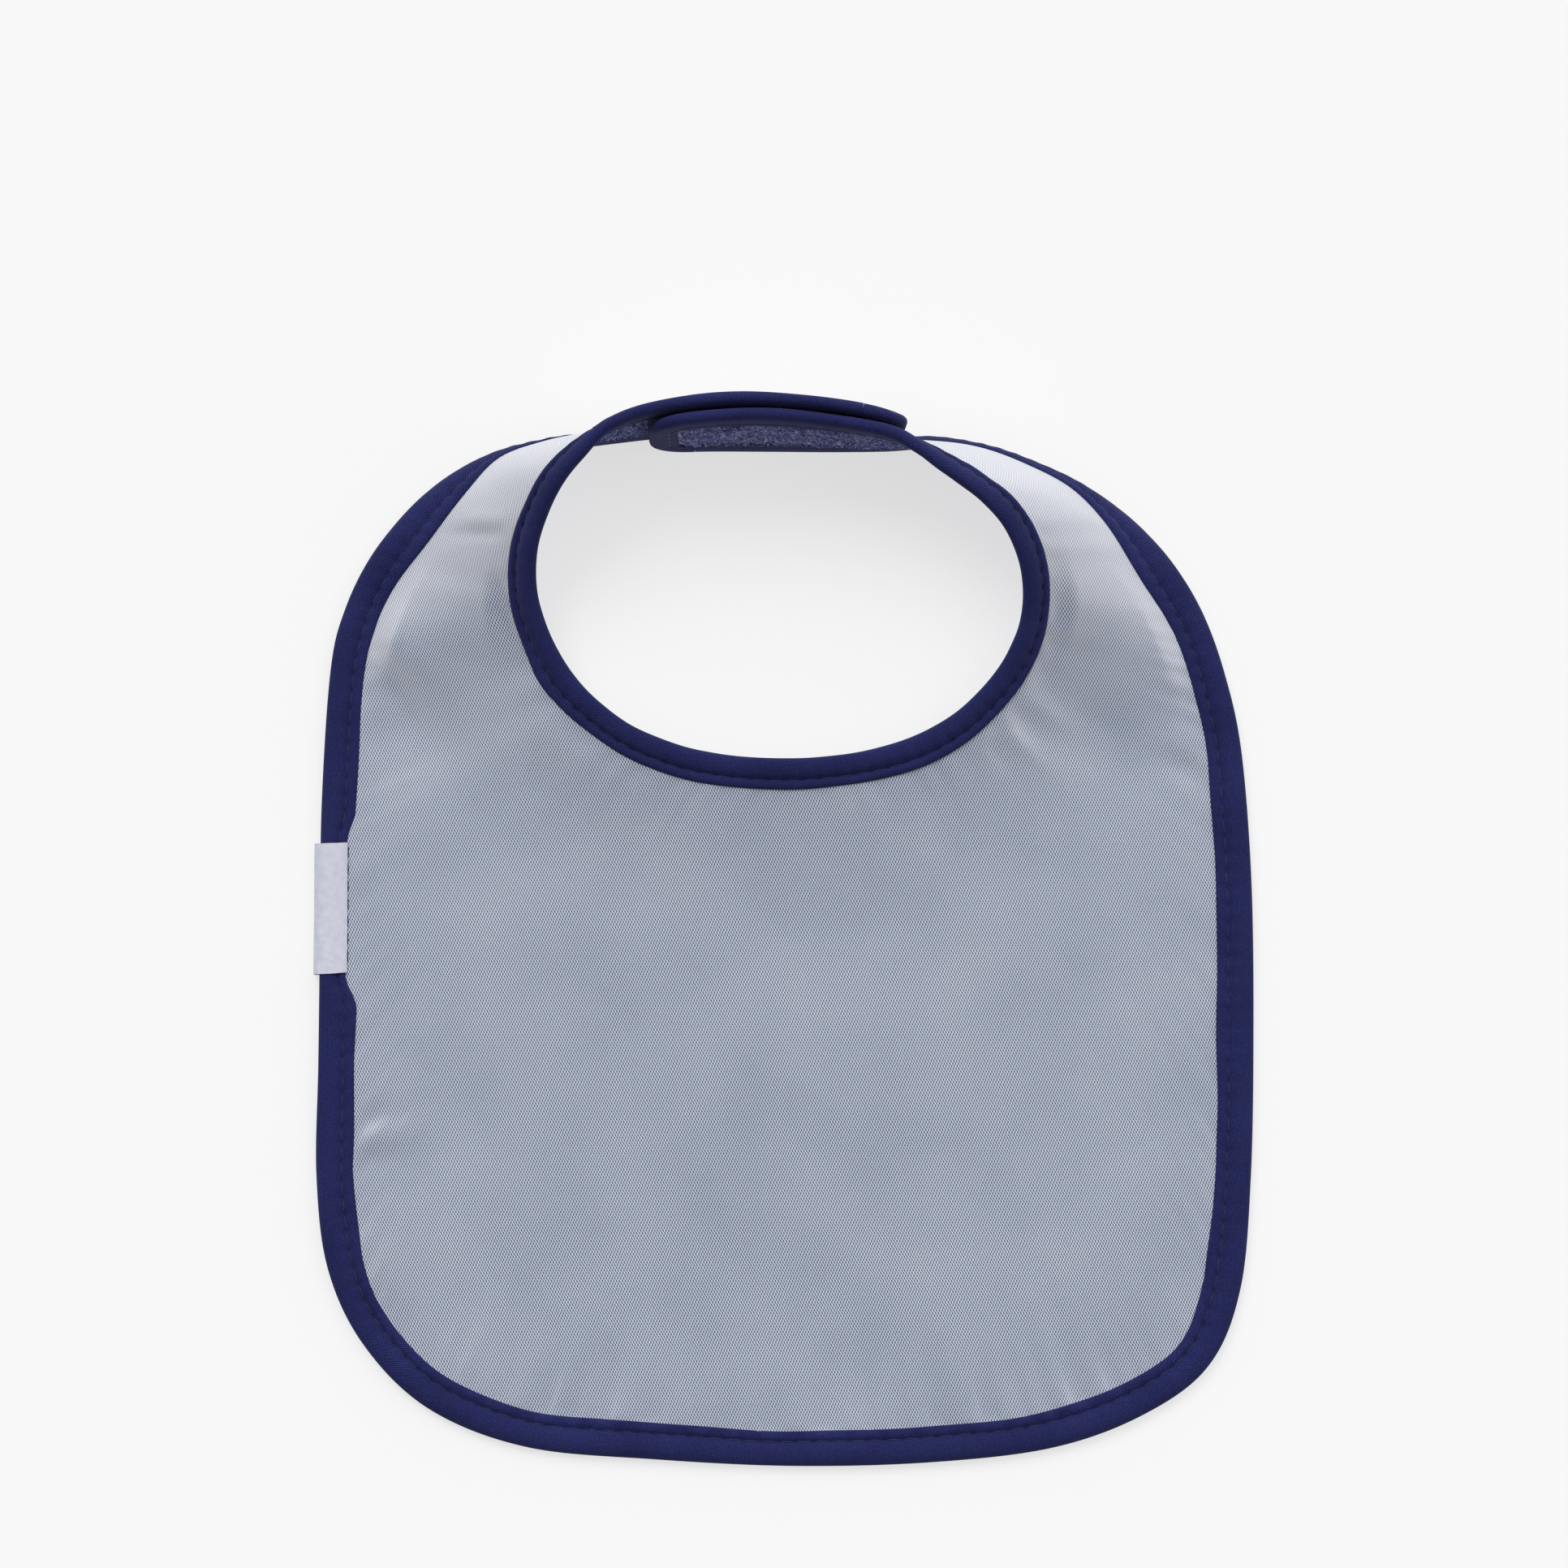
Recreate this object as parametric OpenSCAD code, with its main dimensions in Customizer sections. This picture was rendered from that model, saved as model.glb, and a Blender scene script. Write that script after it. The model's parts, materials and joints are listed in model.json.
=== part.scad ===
// Baby bib with a sewn front, a bound edge and two neck straps that close at the back with
// hook-and-loop patches. It lies with its waterproof side up and its neck loop closed and standing.
// Cloth is one ruled surface: a straight ruling runs from the neck edge to the outer edge at every
// station, and each layer is a slab at its own height above or below that surface.

/* [Cloth] */
// Thickness of the terry front, pile included
terry_thickness = 1.6; // [1.4:0.1:2.2]
// Thickness of the terry where the binding squeezes it
pressed_terry = 0.95; // [0.8:0.05:1.1]
// Thickness of the waterproof backing
backing_thickness = 0.3; // [0.2:0.05:0.3]
// How far from the neck edge the panel still rises towards it
lift_reach = 50; // [45:1:75]

/* [Binding] */
// Width of the bias binding from its fold to its hem
binding_width = 8.6; // [7:0.1:9]
// Thickness of the binding's turned cloth on each face
binding_cloth = 0.6; // [0.5:0.05:0.65]
// Distance of the stitch line from the fold
stitch_inset = 6.3; // [5.5:0.1:6.8]
// Width of the thread line
thread_width = 0.4; // [0.3:0.05:0.6]

/* [Straps] */
// Radius of the straps' rounded ends
tip_radius = 10; // [9.5:0.1:12]
// Distance from a strap's end to the join of its two binding tapes
join_distance = 12; // [12:0.5:16]
// Gap between cloth that belongs to different bodies, at a hinge line
hinge_gap = 0.3; // [0.2:0.05:0.6]

/* [Patches] */
// Length of the hook patch and of the loop patch
patch_length = 44; // [30:1:46]
// Width of the patches
patch_width = 18; // [14:0.5:18]
// Thickness of the patches
patch_thickness = 0.75; // [0.5:0.05:0.75]

/* [Label] */
// Thickness of the folded side label
label_thickness = 0.25; // [0.15:0.05:0.3]
// Depth of the label over the binding
label_depth = 8.2; // [7:0.1:8.6]

/* [Hidden] */

navy = [0.13, 0.15, 0.40];
slate = [0.30, 0.32, 0.44];
pale_grey = [0.66, 0.70, 0.75];
satin_white = [0.90, 0.91, 0.95];
thread_navy = [0.08, 0.09, 0.28];

// Stations from the outer strap's tip, round the neck, to the inner strap's tip. Each is
// [neck x, neck y, neck z, outer x, outer y, panel share, bulge]: the ruling's two ends, how much
// it lies flat as panel (1) or stands as strap (0), and how far its middle bows outwards.
STATIONS = [
    [32.5, 130.1, 36.5, 32.5, 134.6, 0, 0],
    [18, 133.7, 36.5, 18, 134.4, 0, 0],
    [4, 135.6, 36.5, 4, 134.2, 0, 0],
    [-10, 136.4, 36.5, -10, 134.3, 0, 0],
    [-24, 135.4, 36.5, -24, 134.4, 0, 0],
    [-38, 132.5, 36.5, -38, 133.3, 0, 0],
    [-46.5, 128, 36, -50.5, 131.7, 0, 1.6],
    [-52.5, 121.2, 34, -63.5, 129.8, 0, 4.8],
    [-57.8, 115, 30.5, -77, 126.8, 0, 5.7],
    [-62, 107.8, 26, -89.2, 121.6, 0.1, 4.2],
    [-65.2, 98.8, 20.5, -100.3, 113, 0.2, 3],
    [-65.6, 89, 15, -110.7, 100.2, 0.4, 1.4],
    [-63.2, 80, 11.5, -117.8, 85.3, 0.7, 0.6],
    [-59.3, 72, 9.5, -121.4, 69, 1, 0],
    [-54, 64.6, 8.6, -123.3, 33, 1, 0],
    [-47.8, 58.7, 8, -123.3, -2, 1, 0],
    [-40.8, 53.7, 7.6, -123.3, -36, 1, 0],
    [-33.3, 50.3, 7.3, -123.4, -65.7, 1, 0],
    [-26, 47.8, 7.1, -120, -90.3, 1, 0],
    [-19.5, 46.4, 7, -110.2, -110.2, 1, 0],
    [-13.5, 45.5, 7, -93, -126.6, 1, 0],
    [-7.5, 45, 7, -67.5, -136.4, 1, 0],
    [-1, 44.8, 7, -34, -139.6, 1, 0],
    [6, 44.9, 7, 2, -141.3, 1, 0],
    [13, 45.5, 7, 38, -140.4, 1, 0],
    [19.5, 46.4, 7, 70.3, -136.6, 1, 0],
    [26, 47.9, 7.1, 94.3, -128, 1, 0],
    [32.7, 50, 7.3, 111.4, -115.4, 1, 0],
    [39.3, 53, 7.6, 120, -95.6, 1, 0],
    [46, 57.2, 8.2, 123.2, -66, 1, 0],
    [51.9, 62.6, 9.1, 124.4, -28, 1, 0],
    [56.5, 68, 10.3, 124.4, 12, 1, 0],
    [59.7, 73.2, 12, 122.2, 47, 1, 0],
    [62.4, 79.8, 14.8, 118, 68, 0.8, 0.5],
    [63.2, 87.5, 18.6, 112, 85, 0.55, 1.2],
    [61.8, 95.5, 23, 103.8, 98.4, 0.3, 2.8],
    [57.8, 103.5, 27.5, 93, 109.4, 0.1, 4.5],
    [51.8, 109.7, 31, 80, 118, 0, 6.3],
    [45.5, 114.2, 33.8, 66.5, 124.2, 0, 5.8],
    [39.8, 118.3, 35.3, 53.5, 128.5, 0, 4.6],
    [34.3, 122.9, 36.2, 40.5, 131, 0, 1.4],
    [27, 127.3, 36.5, 27, 130.3, 0, 0],
    [12, 130.3, 36.5, 12, 130, 0, 0],
    [-4, 132, 36.5, -4, 130, 0, 0],
    [-20, 131.4, 36.5, -20, 130.1, 0, 0],
    [-36, 129, 36.5, -36, 129.9, 0, 0],
];
LAST = len(STATIONS) - 1;
OUTER_HINGE = 5;
INNER_HINGE = 41;
// Moves the origin under the middle of the whole bib's box
ORIGIN_SHIFT = [0, 1.96, 0];
// Stations that the side label spans, and the stretch where the binding's back is thinned for it
LABEL_FROM = 14.3;
LABEL_TO = 15.3;
LABEL_RELIEF = [13.99, 15.6];

// Clearance between the two cloths, between the binding or a patch and the cloth, and the thread's
// lower and upper face above the binding
seat = 0.07;
ease = 0.15;
thread_seat = 0.05;
thread_top = 0.25;
// Heights of the other faces above (+) or below (-) the cloth's own surface
backing_top = backing_thickness;
binding_top = backing_thickness + ease + binding_cloth;
binding_seat_top = backing_thickness + ease;
binding_seat_low = -pressed_terry - ease;
belly = -terry_thickness;
label_relief_low = belly + label_thickness + 0.1;
cloth_inset = 1.3;
thin_to = binding_width + 0.9;
thick_from = thin_to + 0.6;
mid_lip = binding_width * 0.6;
EDGE_ROWS = [cloth_inset, mid_lip, thin_to];

function clamp01(x) = min(1, max(0, x));
function backwards(list) = [for (i = [len(list) - 1:-1:0]) list[i]];

// Catmull-Rom curve through the stations
function station(t) =
    let (i = min(LAST - 1, max(0, floor(t))), f = t - i,
         b = STATIONS[i], c = STATIONS[i + 1],
         a = i > 0 ? STATIONS[i - 1] : 2 * b - c,
         d = i < LAST - 1 ? STATIONS[i + 2] : 2 * c - b)
    0.5 * (2 * b + (c - a) * f + (2 * a - 5 * b + 4 * c - d) * f * f
           + (3 * b - a - 3 * c + d) * f * f * f);

// Point of the cloth's surface at station t, a share v of the way from neck edge to outer edge
function cloth(t, v) =
    let (s = station(t), neck = [s[0], s[1]], run = [s[3], s[4]] - neck, span = norm(run),
         panel = clamp01(s[5]), bow = max(0, s[6]) * min(1, span / 4),
         level = max(0, span - 4 * bow),
         foot = span < 0.01 ? 0 : -belly * level / norm([level, s[2] * (1 - panel)]),
         reach = max(1, min(lift_reach, span)),
         lift = (1 - panel) * (1 - v) + panel * pow(max(0, 1 - v * span / reach), 2),
         flat = neck + run * v + run / max(span, 0.01) * bow * 4 * v * (1 - v))
    [flat[0], flat[1], foot + (s[2] - foot) * lift] + ORIGIN_SHIFT;

function along(t, v) = (cloth(t + 0.05, v) - cloth(t - 0.05, v)) / 0.1;
function across(t, v) = (cloth(t, v + 0.01) - cloth(t, v - 0.01)) / 0.02;
function unit(a) = a / norm(a);
function raised(t, v, h) = cloth(t, v) + unit(cross(across(t, v), along(t, v))) * h;

// A place on the cloth is [t, v]. inwards() steps s mm in from an edge, square to it.
function square_part(t, v) =
    let (u = along(t, v), w = across(t, v)) norm(w - u * ((w * u) / (u * u)));
function inwards(t, v, s) =
    let (u = along(t, v), w = across(t, v), k = (w * u) / (u * u),
         dv = (v < 0.5 ? 1 : -1) * s / norm(w - u * k))
    [t - k * dv, v + dv];

// Strap ends: distance d from the end and e from the middle line, in mm
function middle(t) = cloth(t, 0.5);
STEP_OUTER = norm(middle(1) - middle(0));
STEP_INNER = norm(middle(LAST) - middle(LAST - 1));
STRAP_WIDTH = norm(cloth(0, 1) - cloth(0, 0));
function tip_t(strap, d) = strap == "outer" ? d / STEP_OUTER : LAST - d / STEP_INNER;
function tip_place(strap, d, e) = [tip_t(strap, d), 0.5 + e / STRAP_WIDTH];

// An edge element is [t, v] on a straight edge, or [strap, d, e, dir d, dir e] at a rounded end,
// where the fold lies tip_radius along dir from the point (d, e).
function place(el, s) =
    len(el) == 2 ? inwards(el[0], el[1], s)
    : tip_place(el[0], el[1] + (tip_radius - s) * el[3], el[2] + (tip_radius - s) * el[4]);
function chain(el, profile) =
    [for (p = profile) let (q = place(el, p[0])) raised(q[0], q[1], p[1])];

function span_list(from, to, steps) = [for (i = [0:steps]) from + (to - from) * i / steps];
function edge_run(ts, v) = [for (t = ts) [t, v]];
// The rounded end from one edge to the other; side is -1 to start at the neck edge
CORNER = STRAP_WIDTH / 2 - tip_radius;
function end_run(strap, side) = concat(
    [for (a = [0:22.5:90]) [strap, tip_radius, side * CORNER, -sin(a), side * cos(a)]],
    [[strap, tip_radius, 0, -1, 0]],
    [for (a = [90:-22.5:0]) [strap, tip_radius, -side * CORNER, -sin(a), -side * cos(a)]]);

// Closed slab between two sets of chains: outer[i] and inner[i] face each other at ring i
module ribbon(outer, inner, closed = false) {
    rings = len(outer);
    m = len(outer[0]);
    ring = 2 * m;
    points = [for (i = [0:rings - 1]) for (j = [0:ring - 1]) j < m ? outer[i][j] : inner[i][ring - 1 - j]];
    // Both faces split their quads along the same diagonal, so that layers nest without touching
    sides = [for (i = [0:rings - (closed ? 1 : 2)]) for (j = [0:ring - 1])
        let (a = i * ring + j, b = i * ring + (j + 1) % ring,
             k = ((i + 1) % rings) * ring, c = k + (j + 1) % ring, d = k + j)
        each j < m ? [[a, d, c], [a, c, b]] : [[a, d, b], [b, d, c]]];
    end = (rings - 1) * ring;
    caps = closed ? [] : [for (j = [0:m - 2])
        let (a = j, b = j + 1, c = ring - 2 - j, d = ring - 1 - j)
        each [[a, b, c], [a, c, d], [end + a, end + c, end + b], [end + a, end + d, end + c]]];
    polyhedron(points, concat(sides, caps));
}

// The binding folds over the edge: outer is its shown face, inner is the face against the cloth,
// both from the hem underneath, round the fold, to the hem on top
function binding_outer(low) = [
    [binding_width, min(low + 0.15, binding_seat_low - 0.1)], [mid_lip, low], [1.2, low], [0, -0.3],
    [1.2, binding_top], [mid_lip, binding_top], [binding_width, binding_top - 0.3]];
BINDING_INNER = [
    [binding_width, binding_seat_low], [mid_lip, binding_seat_low],
    [1.1, binding_seat_low], [0.5, -0.3], [1.1, binding_seat_top],
    [mid_lip, binding_seat_top], [binding_width, binding_seat_top]];
function relieved(el) = len(el) == 2 && el[1] == 1 && el[0] > LABEL_RELIEF[0] && el[0] < LABEL_RELIEF[1];

module binding(path) {
    ribbon([for (el = path) chain(el, binding_outer(relieved(el) ? label_relief_low : belly))],
           [for (el = path) chain(el, BINDING_INNER)]);
}

// A line of stitches lies on the binding, or on the face of height base
module stitch_line(path, inset, base) {
    near = inset - thread_width / 2;
    far = inset + thread_width / 2;
    ribbon([for (el = path) chain(el, [[near, base + thread_top], [far, base + thread_top]])],
           [for (el = path) chain(el, [[near, base + thread_seat], [far, base + thread_seat]])]);
}

// Rows of a sheet across the cloth, as [v, under the binding or not]
function sheet_rows(t) =
    let (kn = 1 / square_part(t, 0), ko = 1 / square_part(t, 1),
         a = thick_from * kn, b = 1 - thick_from * ko,
         bias = 1 + 0.8 * clamp01((1 / kn - 45) / 90))
    concat([for (s = EDGE_ROWS) [s * kn, true]],
           [for (i = [0:3]) [a + (b - a) * pow(i / 3, bias), false]],
           [for (s = backwards(EDGE_ROWS)) [1 - s * ko, true]]);
// Near a strap's end the rows draw in to follow the rounded end
function end_share(d) =
    let (r = tip_radius - cloth_inset, x = max(0, tip_radius - d))
    x == 0 ? 1 : (CORNER + sqrt(max(0, r * r - x * x))) / (STRAP_WIDTH / 2 - cloth_inset);
function strap_rows(strap, t) =
    let (d = strap == "outer" ? t * STEP_OUTER : (LAST - t) * STEP_INNER)
    [for (r = sheet_rows(t)) [0.5 + (r[0] - 0.5) * end_share(d), r[1] || d < thin_to + 0.1]];

module sheet(ts, strap, top, bottom, pressed) {
    rows = [for (t = ts) strap == "" ? sheet_rows(t) : strap_rows(strap, t)];
    ribbon([for (i = [0:len(ts) - 1]) [for (r = rows[i]) raised(ts[i], r[0], top)]],
           [for (i = [0:len(ts) - 1]) [for (r = rows[i]) raised(ts[i], r[0], r[1] ? pressed : bottom)]]);
}
module backing(ts, strap) { sheet(ts, strap, backing_top, 0, 0); }
module terry(ts, strap) { sheet(ts, strap, -seat, belly, -pressed_terry); }

// Where each body's cloth starts and stops
GAP_OUTER = hinge_gap / 2 / norm(along(OUTER_HINGE, 0.5));
GAP_INNER = hinge_gap / 2 / norm(along(INNER_HINGE, 0.5));
BODY_TS = concat([OUTER_HINGE + GAP_OUTER], span_list(OUTER_HINGE + 0.5, INNER_HINGE - 0.5,
                 2 * (INNER_HINGE - OUTER_HINGE) - 2), [INNER_HINGE - GAP_INNER]);
function end_ts(strap) = [for (d = [cloth_inset, 1.8, 3.2, 5.5, thin_to, thick_from]) tip_t(strap, d)];
OUTER_TS = concat(end_ts("outer"), span_list(4 / 3, 14 / 3, 10), [OUTER_HINGE - GAP_OUTER]);
INNER_TS = concat([INNER_HINGE + GAP_INNER], span_list(INNER_HINGE + 1 / 3, LAST - 4 / 3, 7),
                  [for (i = [5:-1:0]) end_ts("inner")[i]]);
OUTER_EDGE_TS = concat([tip_t("outer", join_distance)], span_list(4 / 3, 14 / 3, 10),
                       [OUTER_HINGE - GAP_OUTER]);
INNER_EDGE_TS = concat([INNER_HINGE + GAP_INNER], span_list(INNER_HINGE + 1 / 3, LAST - 4 / 3, 7),
                       [tip_t("inner", join_distance)]);
JOIN_GAP_OUTER = 0.05 / STEP_OUTER;
JOIN_GAP_INNER = 0.05 / STEP_INNER;

BODY_OUTER_PATH = backwards(edge_run(BODY_TS, 1));
BODY_NECK_PATH = edge_run(BODY_TS, 0);
// The outer-edge tape turns the outer strap's end and stops on its neck edge
OUTER_STRAP_OUTER_PATH = concat(backwards(edge_run(OUTER_EDGE_TS, 1)), end_run("outer", 1),
    [[tip_t("outer", join_distance) - JOIN_GAP_OUTER, 0]]);
OUTER_STRAP_NECK_PATH = concat([[tip_t("outer", join_distance) + JOIN_GAP_OUTER, 0]],
    edge_run([for (t = OUTER_EDGE_TS) if (t > 1) t], 0));
// The neck tape turns the inner strap's end and stops on its outer edge
INNER_STRAP_NECK_PATH = concat(edge_run(INNER_EDGE_TS, 0), end_run("inner", -1),
    [[tip_t("inner", join_distance) + JOIN_GAP_INNER, 1]]);
INNER_STRAP_OUTER_PATH = concat([[tip_t("inner", join_distance) - JOIN_GAP_INNER, 1]],
    backwards(edge_run([for (t = INNER_EDGE_TS) if (t < LAST - 1) t], 1)));

// Patches sit where the straps overlap, between the two bindings
PATCH_MIDDLE = -2.5;
function outer_t(x) = (STATIONS[0][0] - x) / STEP_OUTER;
function inner_t(x) = LAST - (x - STATIONS[LAST][0]) / STEP_INNER;
function patch_ts(strap) =
    let (from = PATCH_MIDDLE - patch_length / 2, to = PATCH_MIDDLE + patch_length / 2)
    strap == "outer" ? span_list(outer_t(to), outer_t(from), 9) : span_list(inner_t(to), inner_t(from), 9);
PATCH_V = span_list(0.5 - patch_width / 2 / STRAP_WIDTH, 0.5 + patch_width / 2 / STRAP_WIDTH, 2);
module patch(strap, top, bottom) {
    ts = patch_ts(strap);
    ribbon([for (t = ts) [for (v = PATCH_V) raised(t, v, top)]],
           [for (t = ts) [for (v = PATCH_V) raised(t, v, bottom)]]);
}
// Stitching round a patch, shown on the other face of the strap
STITCH_IN = 2;
module patch_stitches(strap, low, high) {
    ts = patch_ts(strap);
    v0 = PATCH_V[0] + STITCH_IN / STRAP_WIDTH;
    v1 = PATCH_V[2] - STITCH_IN / STRAP_WIDTH;
    dt = STITCH_IN / (strap == "outer" ? STEP_OUTER : STEP_INNER);
    rt = thread_width / 2 / (strap == "outer" ? STEP_OUTER : STEP_INNER);
    rv = thread_width / 2 / STRAP_WIDTH;
    t0 = ts[0] + dt;
    t1 = ts[9] - dt;
    inside = [for (t = span_list(t0, t1, 8)) [t, v0, -1]];
    outside = [for (t = span_list(t1, t0, 8)) [t, v1, 1]];
    function side_t(t) = t < t0 + 0.001 ? -1 : t > t1 - 0.001 ? 1 : 0;
    path = concat(inside, outside);
    function line(k, h) = [for (p = path) raised(p[0] + k * rt * side_t(p[0]), p[1] + k * rv * p[2], h)];
    out_high = line(1, high);
    in_high = line(-1, high);
    out_low = line(1, low);
    in_low = line(-1, low);
    ribbon([for (i = [0:len(path) - 1]) [out_high[i], in_high[i]]],
           [for (i = [0:len(path) - 1]) [out_low[i], in_low[i]]], true);
}

LABEL_PATH = edge_run(span_list(LABEL_TO, LABEL_FROM, 6), 1);
label_seat = binding_top + thread_top + seat;
label_top = label_seat + label_thickness;
LABEL_OUTER = [[label_depth, belly], [1.2, belly], [-0.6, -0.9], [-0.6, 0.5], [1.2, label_top],
               [label_depth, label_top]];
LABEL_INNER = [[label_depth, belly + label_thickness], [1.2, belly + label_thickness],
               [-0.3, -0.75], [-0.3, 0.3], [1.2, label_seat], [label_depth, label_seat]];

module waterproof_backing() color(pale_grey) backing(BODY_TS, "");
module terry_front() color(slate) terry(BODY_TS, "");
module outer_binding() color(navy) binding(BODY_OUTER_PATH);
module neck_binding() color(navy) binding(BODY_NECK_PATH);
module outer_binding_thread() color(thread_navy) stitch_line(BODY_OUTER_PATH, stitch_inset, binding_top);
module neck_binding_thread() color(thread_navy) stitch_line(BODY_NECK_PATH, stitch_inset, binding_top);
module side_label() color(satin_white)
    ribbon([for (el = LABEL_PATH) chain(el, LABEL_OUTER)], [for (el = LABEL_PATH) chain(el, LABEL_INNER)]);
module label_thread() color(satin_white) stitch_line(LABEL_PATH, label_depth - 1, label_top);

module outer_strap_backing() color(pale_grey) backing(OUTER_TS, "outer");
module outer_strap_terry() color(slate) terry(OUTER_TS, "outer");
module outer_strap_outer_binding() color(navy) binding(OUTER_STRAP_OUTER_PATH);
module outer_strap_neck_binding() color(navy) binding(OUTER_STRAP_NECK_PATH);
module outer_strap_outer_thread() color(thread_navy)
    stitch_line(OUTER_STRAP_OUTER_PATH, stitch_inset, binding_top);
module outer_strap_neck_thread() color(thread_navy)
    stitch_line(OUTER_STRAP_NECK_PATH, stitch_inset, binding_top);
module loop_patch() color(slate) patch("outer", belly - ease, belly - ease - patch_thickness);
module loop_patch_thread() color(thread_navy)
    patch_stitches("outer", backing_top + thread_seat, backing_top + thread_top);

module inner_strap_backing() color(pale_grey) backing(INNER_TS, "inner");
module inner_strap_terry() color(slate) terry(INNER_TS, "inner");
module inner_strap_outer_binding() color(navy) binding(INNER_STRAP_OUTER_PATH);
module inner_strap_neck_binding() color(navy) binding(INNER_STRAP_NECK_PATH);
module inner_strap_outer_thread() color(thread_navy)
    stitch_line(INNER_STRAP_OUTER_PATH, stitch_inset, binding_top);
module inner_strap_neck_thread() color(thread_navy)
    stitch_line(INNER_STRAP_NECK_PATH, stitch_inset, binding_top);
module hook_patch() color(pale_grey)
    patch("inner", backing_top + ease + patch_thickness, backing_top + ease);
module hook_patch_thread() color(thread_navy)
    patch_stitches("inner", belly - thread_top - ease / 2, belly - thread_seat - ease / 2);

waterproof_backing();
terry_front();
outer_binding();
neck_binding();
outer_binding_thread();
neck_binding_thread();
side_label();
label_thread();
outer_strap_backing();
outer_strap_terry();
outer_strap_outer_binding();
outer_strap_neck_binding();
outer_strap_outer_thread();
outer_strap_neck_thread();
loop_patch();
loop_patch_thread();
inner_strap_backing();
inner_strap_terry();
inner_strap_outer_binding();
inner_strap_neck_binding();
inner_strap_outer_thread();
inner_strap_neck_thread();
hook_patch();
hook_patch_thread();
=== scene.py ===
# %% [markdown]
# # A sewn baby bib with its neck loop closed
# Two layers of cloth, a coated backing and a terry front, are cut in one piece with both straps.
# Bias tape is folded over every edge and sewn down. Each strap ends in a patch of hook or loop
# tape, and a blank satin label is folded over the left edge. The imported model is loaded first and
# stays where it is, and every piece below is built round it.

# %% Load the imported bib
import json
import math

import bpy
import numpy as np
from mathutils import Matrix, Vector

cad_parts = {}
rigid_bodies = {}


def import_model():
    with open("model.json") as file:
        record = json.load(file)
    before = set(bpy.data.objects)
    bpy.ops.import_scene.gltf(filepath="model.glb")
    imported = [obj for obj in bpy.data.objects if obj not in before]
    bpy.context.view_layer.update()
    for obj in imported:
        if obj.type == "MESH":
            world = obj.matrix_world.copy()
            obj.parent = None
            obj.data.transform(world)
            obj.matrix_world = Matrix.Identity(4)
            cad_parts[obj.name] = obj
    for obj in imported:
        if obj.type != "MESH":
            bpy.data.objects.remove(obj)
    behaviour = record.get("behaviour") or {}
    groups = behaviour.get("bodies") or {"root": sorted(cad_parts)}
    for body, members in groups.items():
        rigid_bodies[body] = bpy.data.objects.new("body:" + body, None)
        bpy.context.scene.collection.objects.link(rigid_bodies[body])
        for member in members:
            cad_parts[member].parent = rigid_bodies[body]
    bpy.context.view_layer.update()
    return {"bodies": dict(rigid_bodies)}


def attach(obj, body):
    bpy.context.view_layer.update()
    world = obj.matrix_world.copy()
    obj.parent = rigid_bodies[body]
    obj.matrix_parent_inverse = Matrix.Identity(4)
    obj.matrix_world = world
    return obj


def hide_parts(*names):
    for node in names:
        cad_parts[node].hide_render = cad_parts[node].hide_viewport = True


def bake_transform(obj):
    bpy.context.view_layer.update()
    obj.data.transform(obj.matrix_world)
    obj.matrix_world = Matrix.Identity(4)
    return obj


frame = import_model()
MM = 0.001
print("bodies:", ", ".join(sorted(frame["bodies"])))

# %% [markdown]
# ## Short calls for shader nodes
# Each material below is a few sums and ramps, so the node calls are kept short.

# %% Node helpers
WHITE = (1, 1, 1, 1)


def grey(x):
    return (x, x, x, 1)


def linear(r, g, b):
    """A colour given as 0 to 255 display values, as the shader needs it."""
    def one(x):
        x = x / 255
        return x / 12.92 if x <= 0.04045 else ((x + 0.055) / 1.055) ** 2.4
    return (one(r), one(g), one(b), 1)


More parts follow.
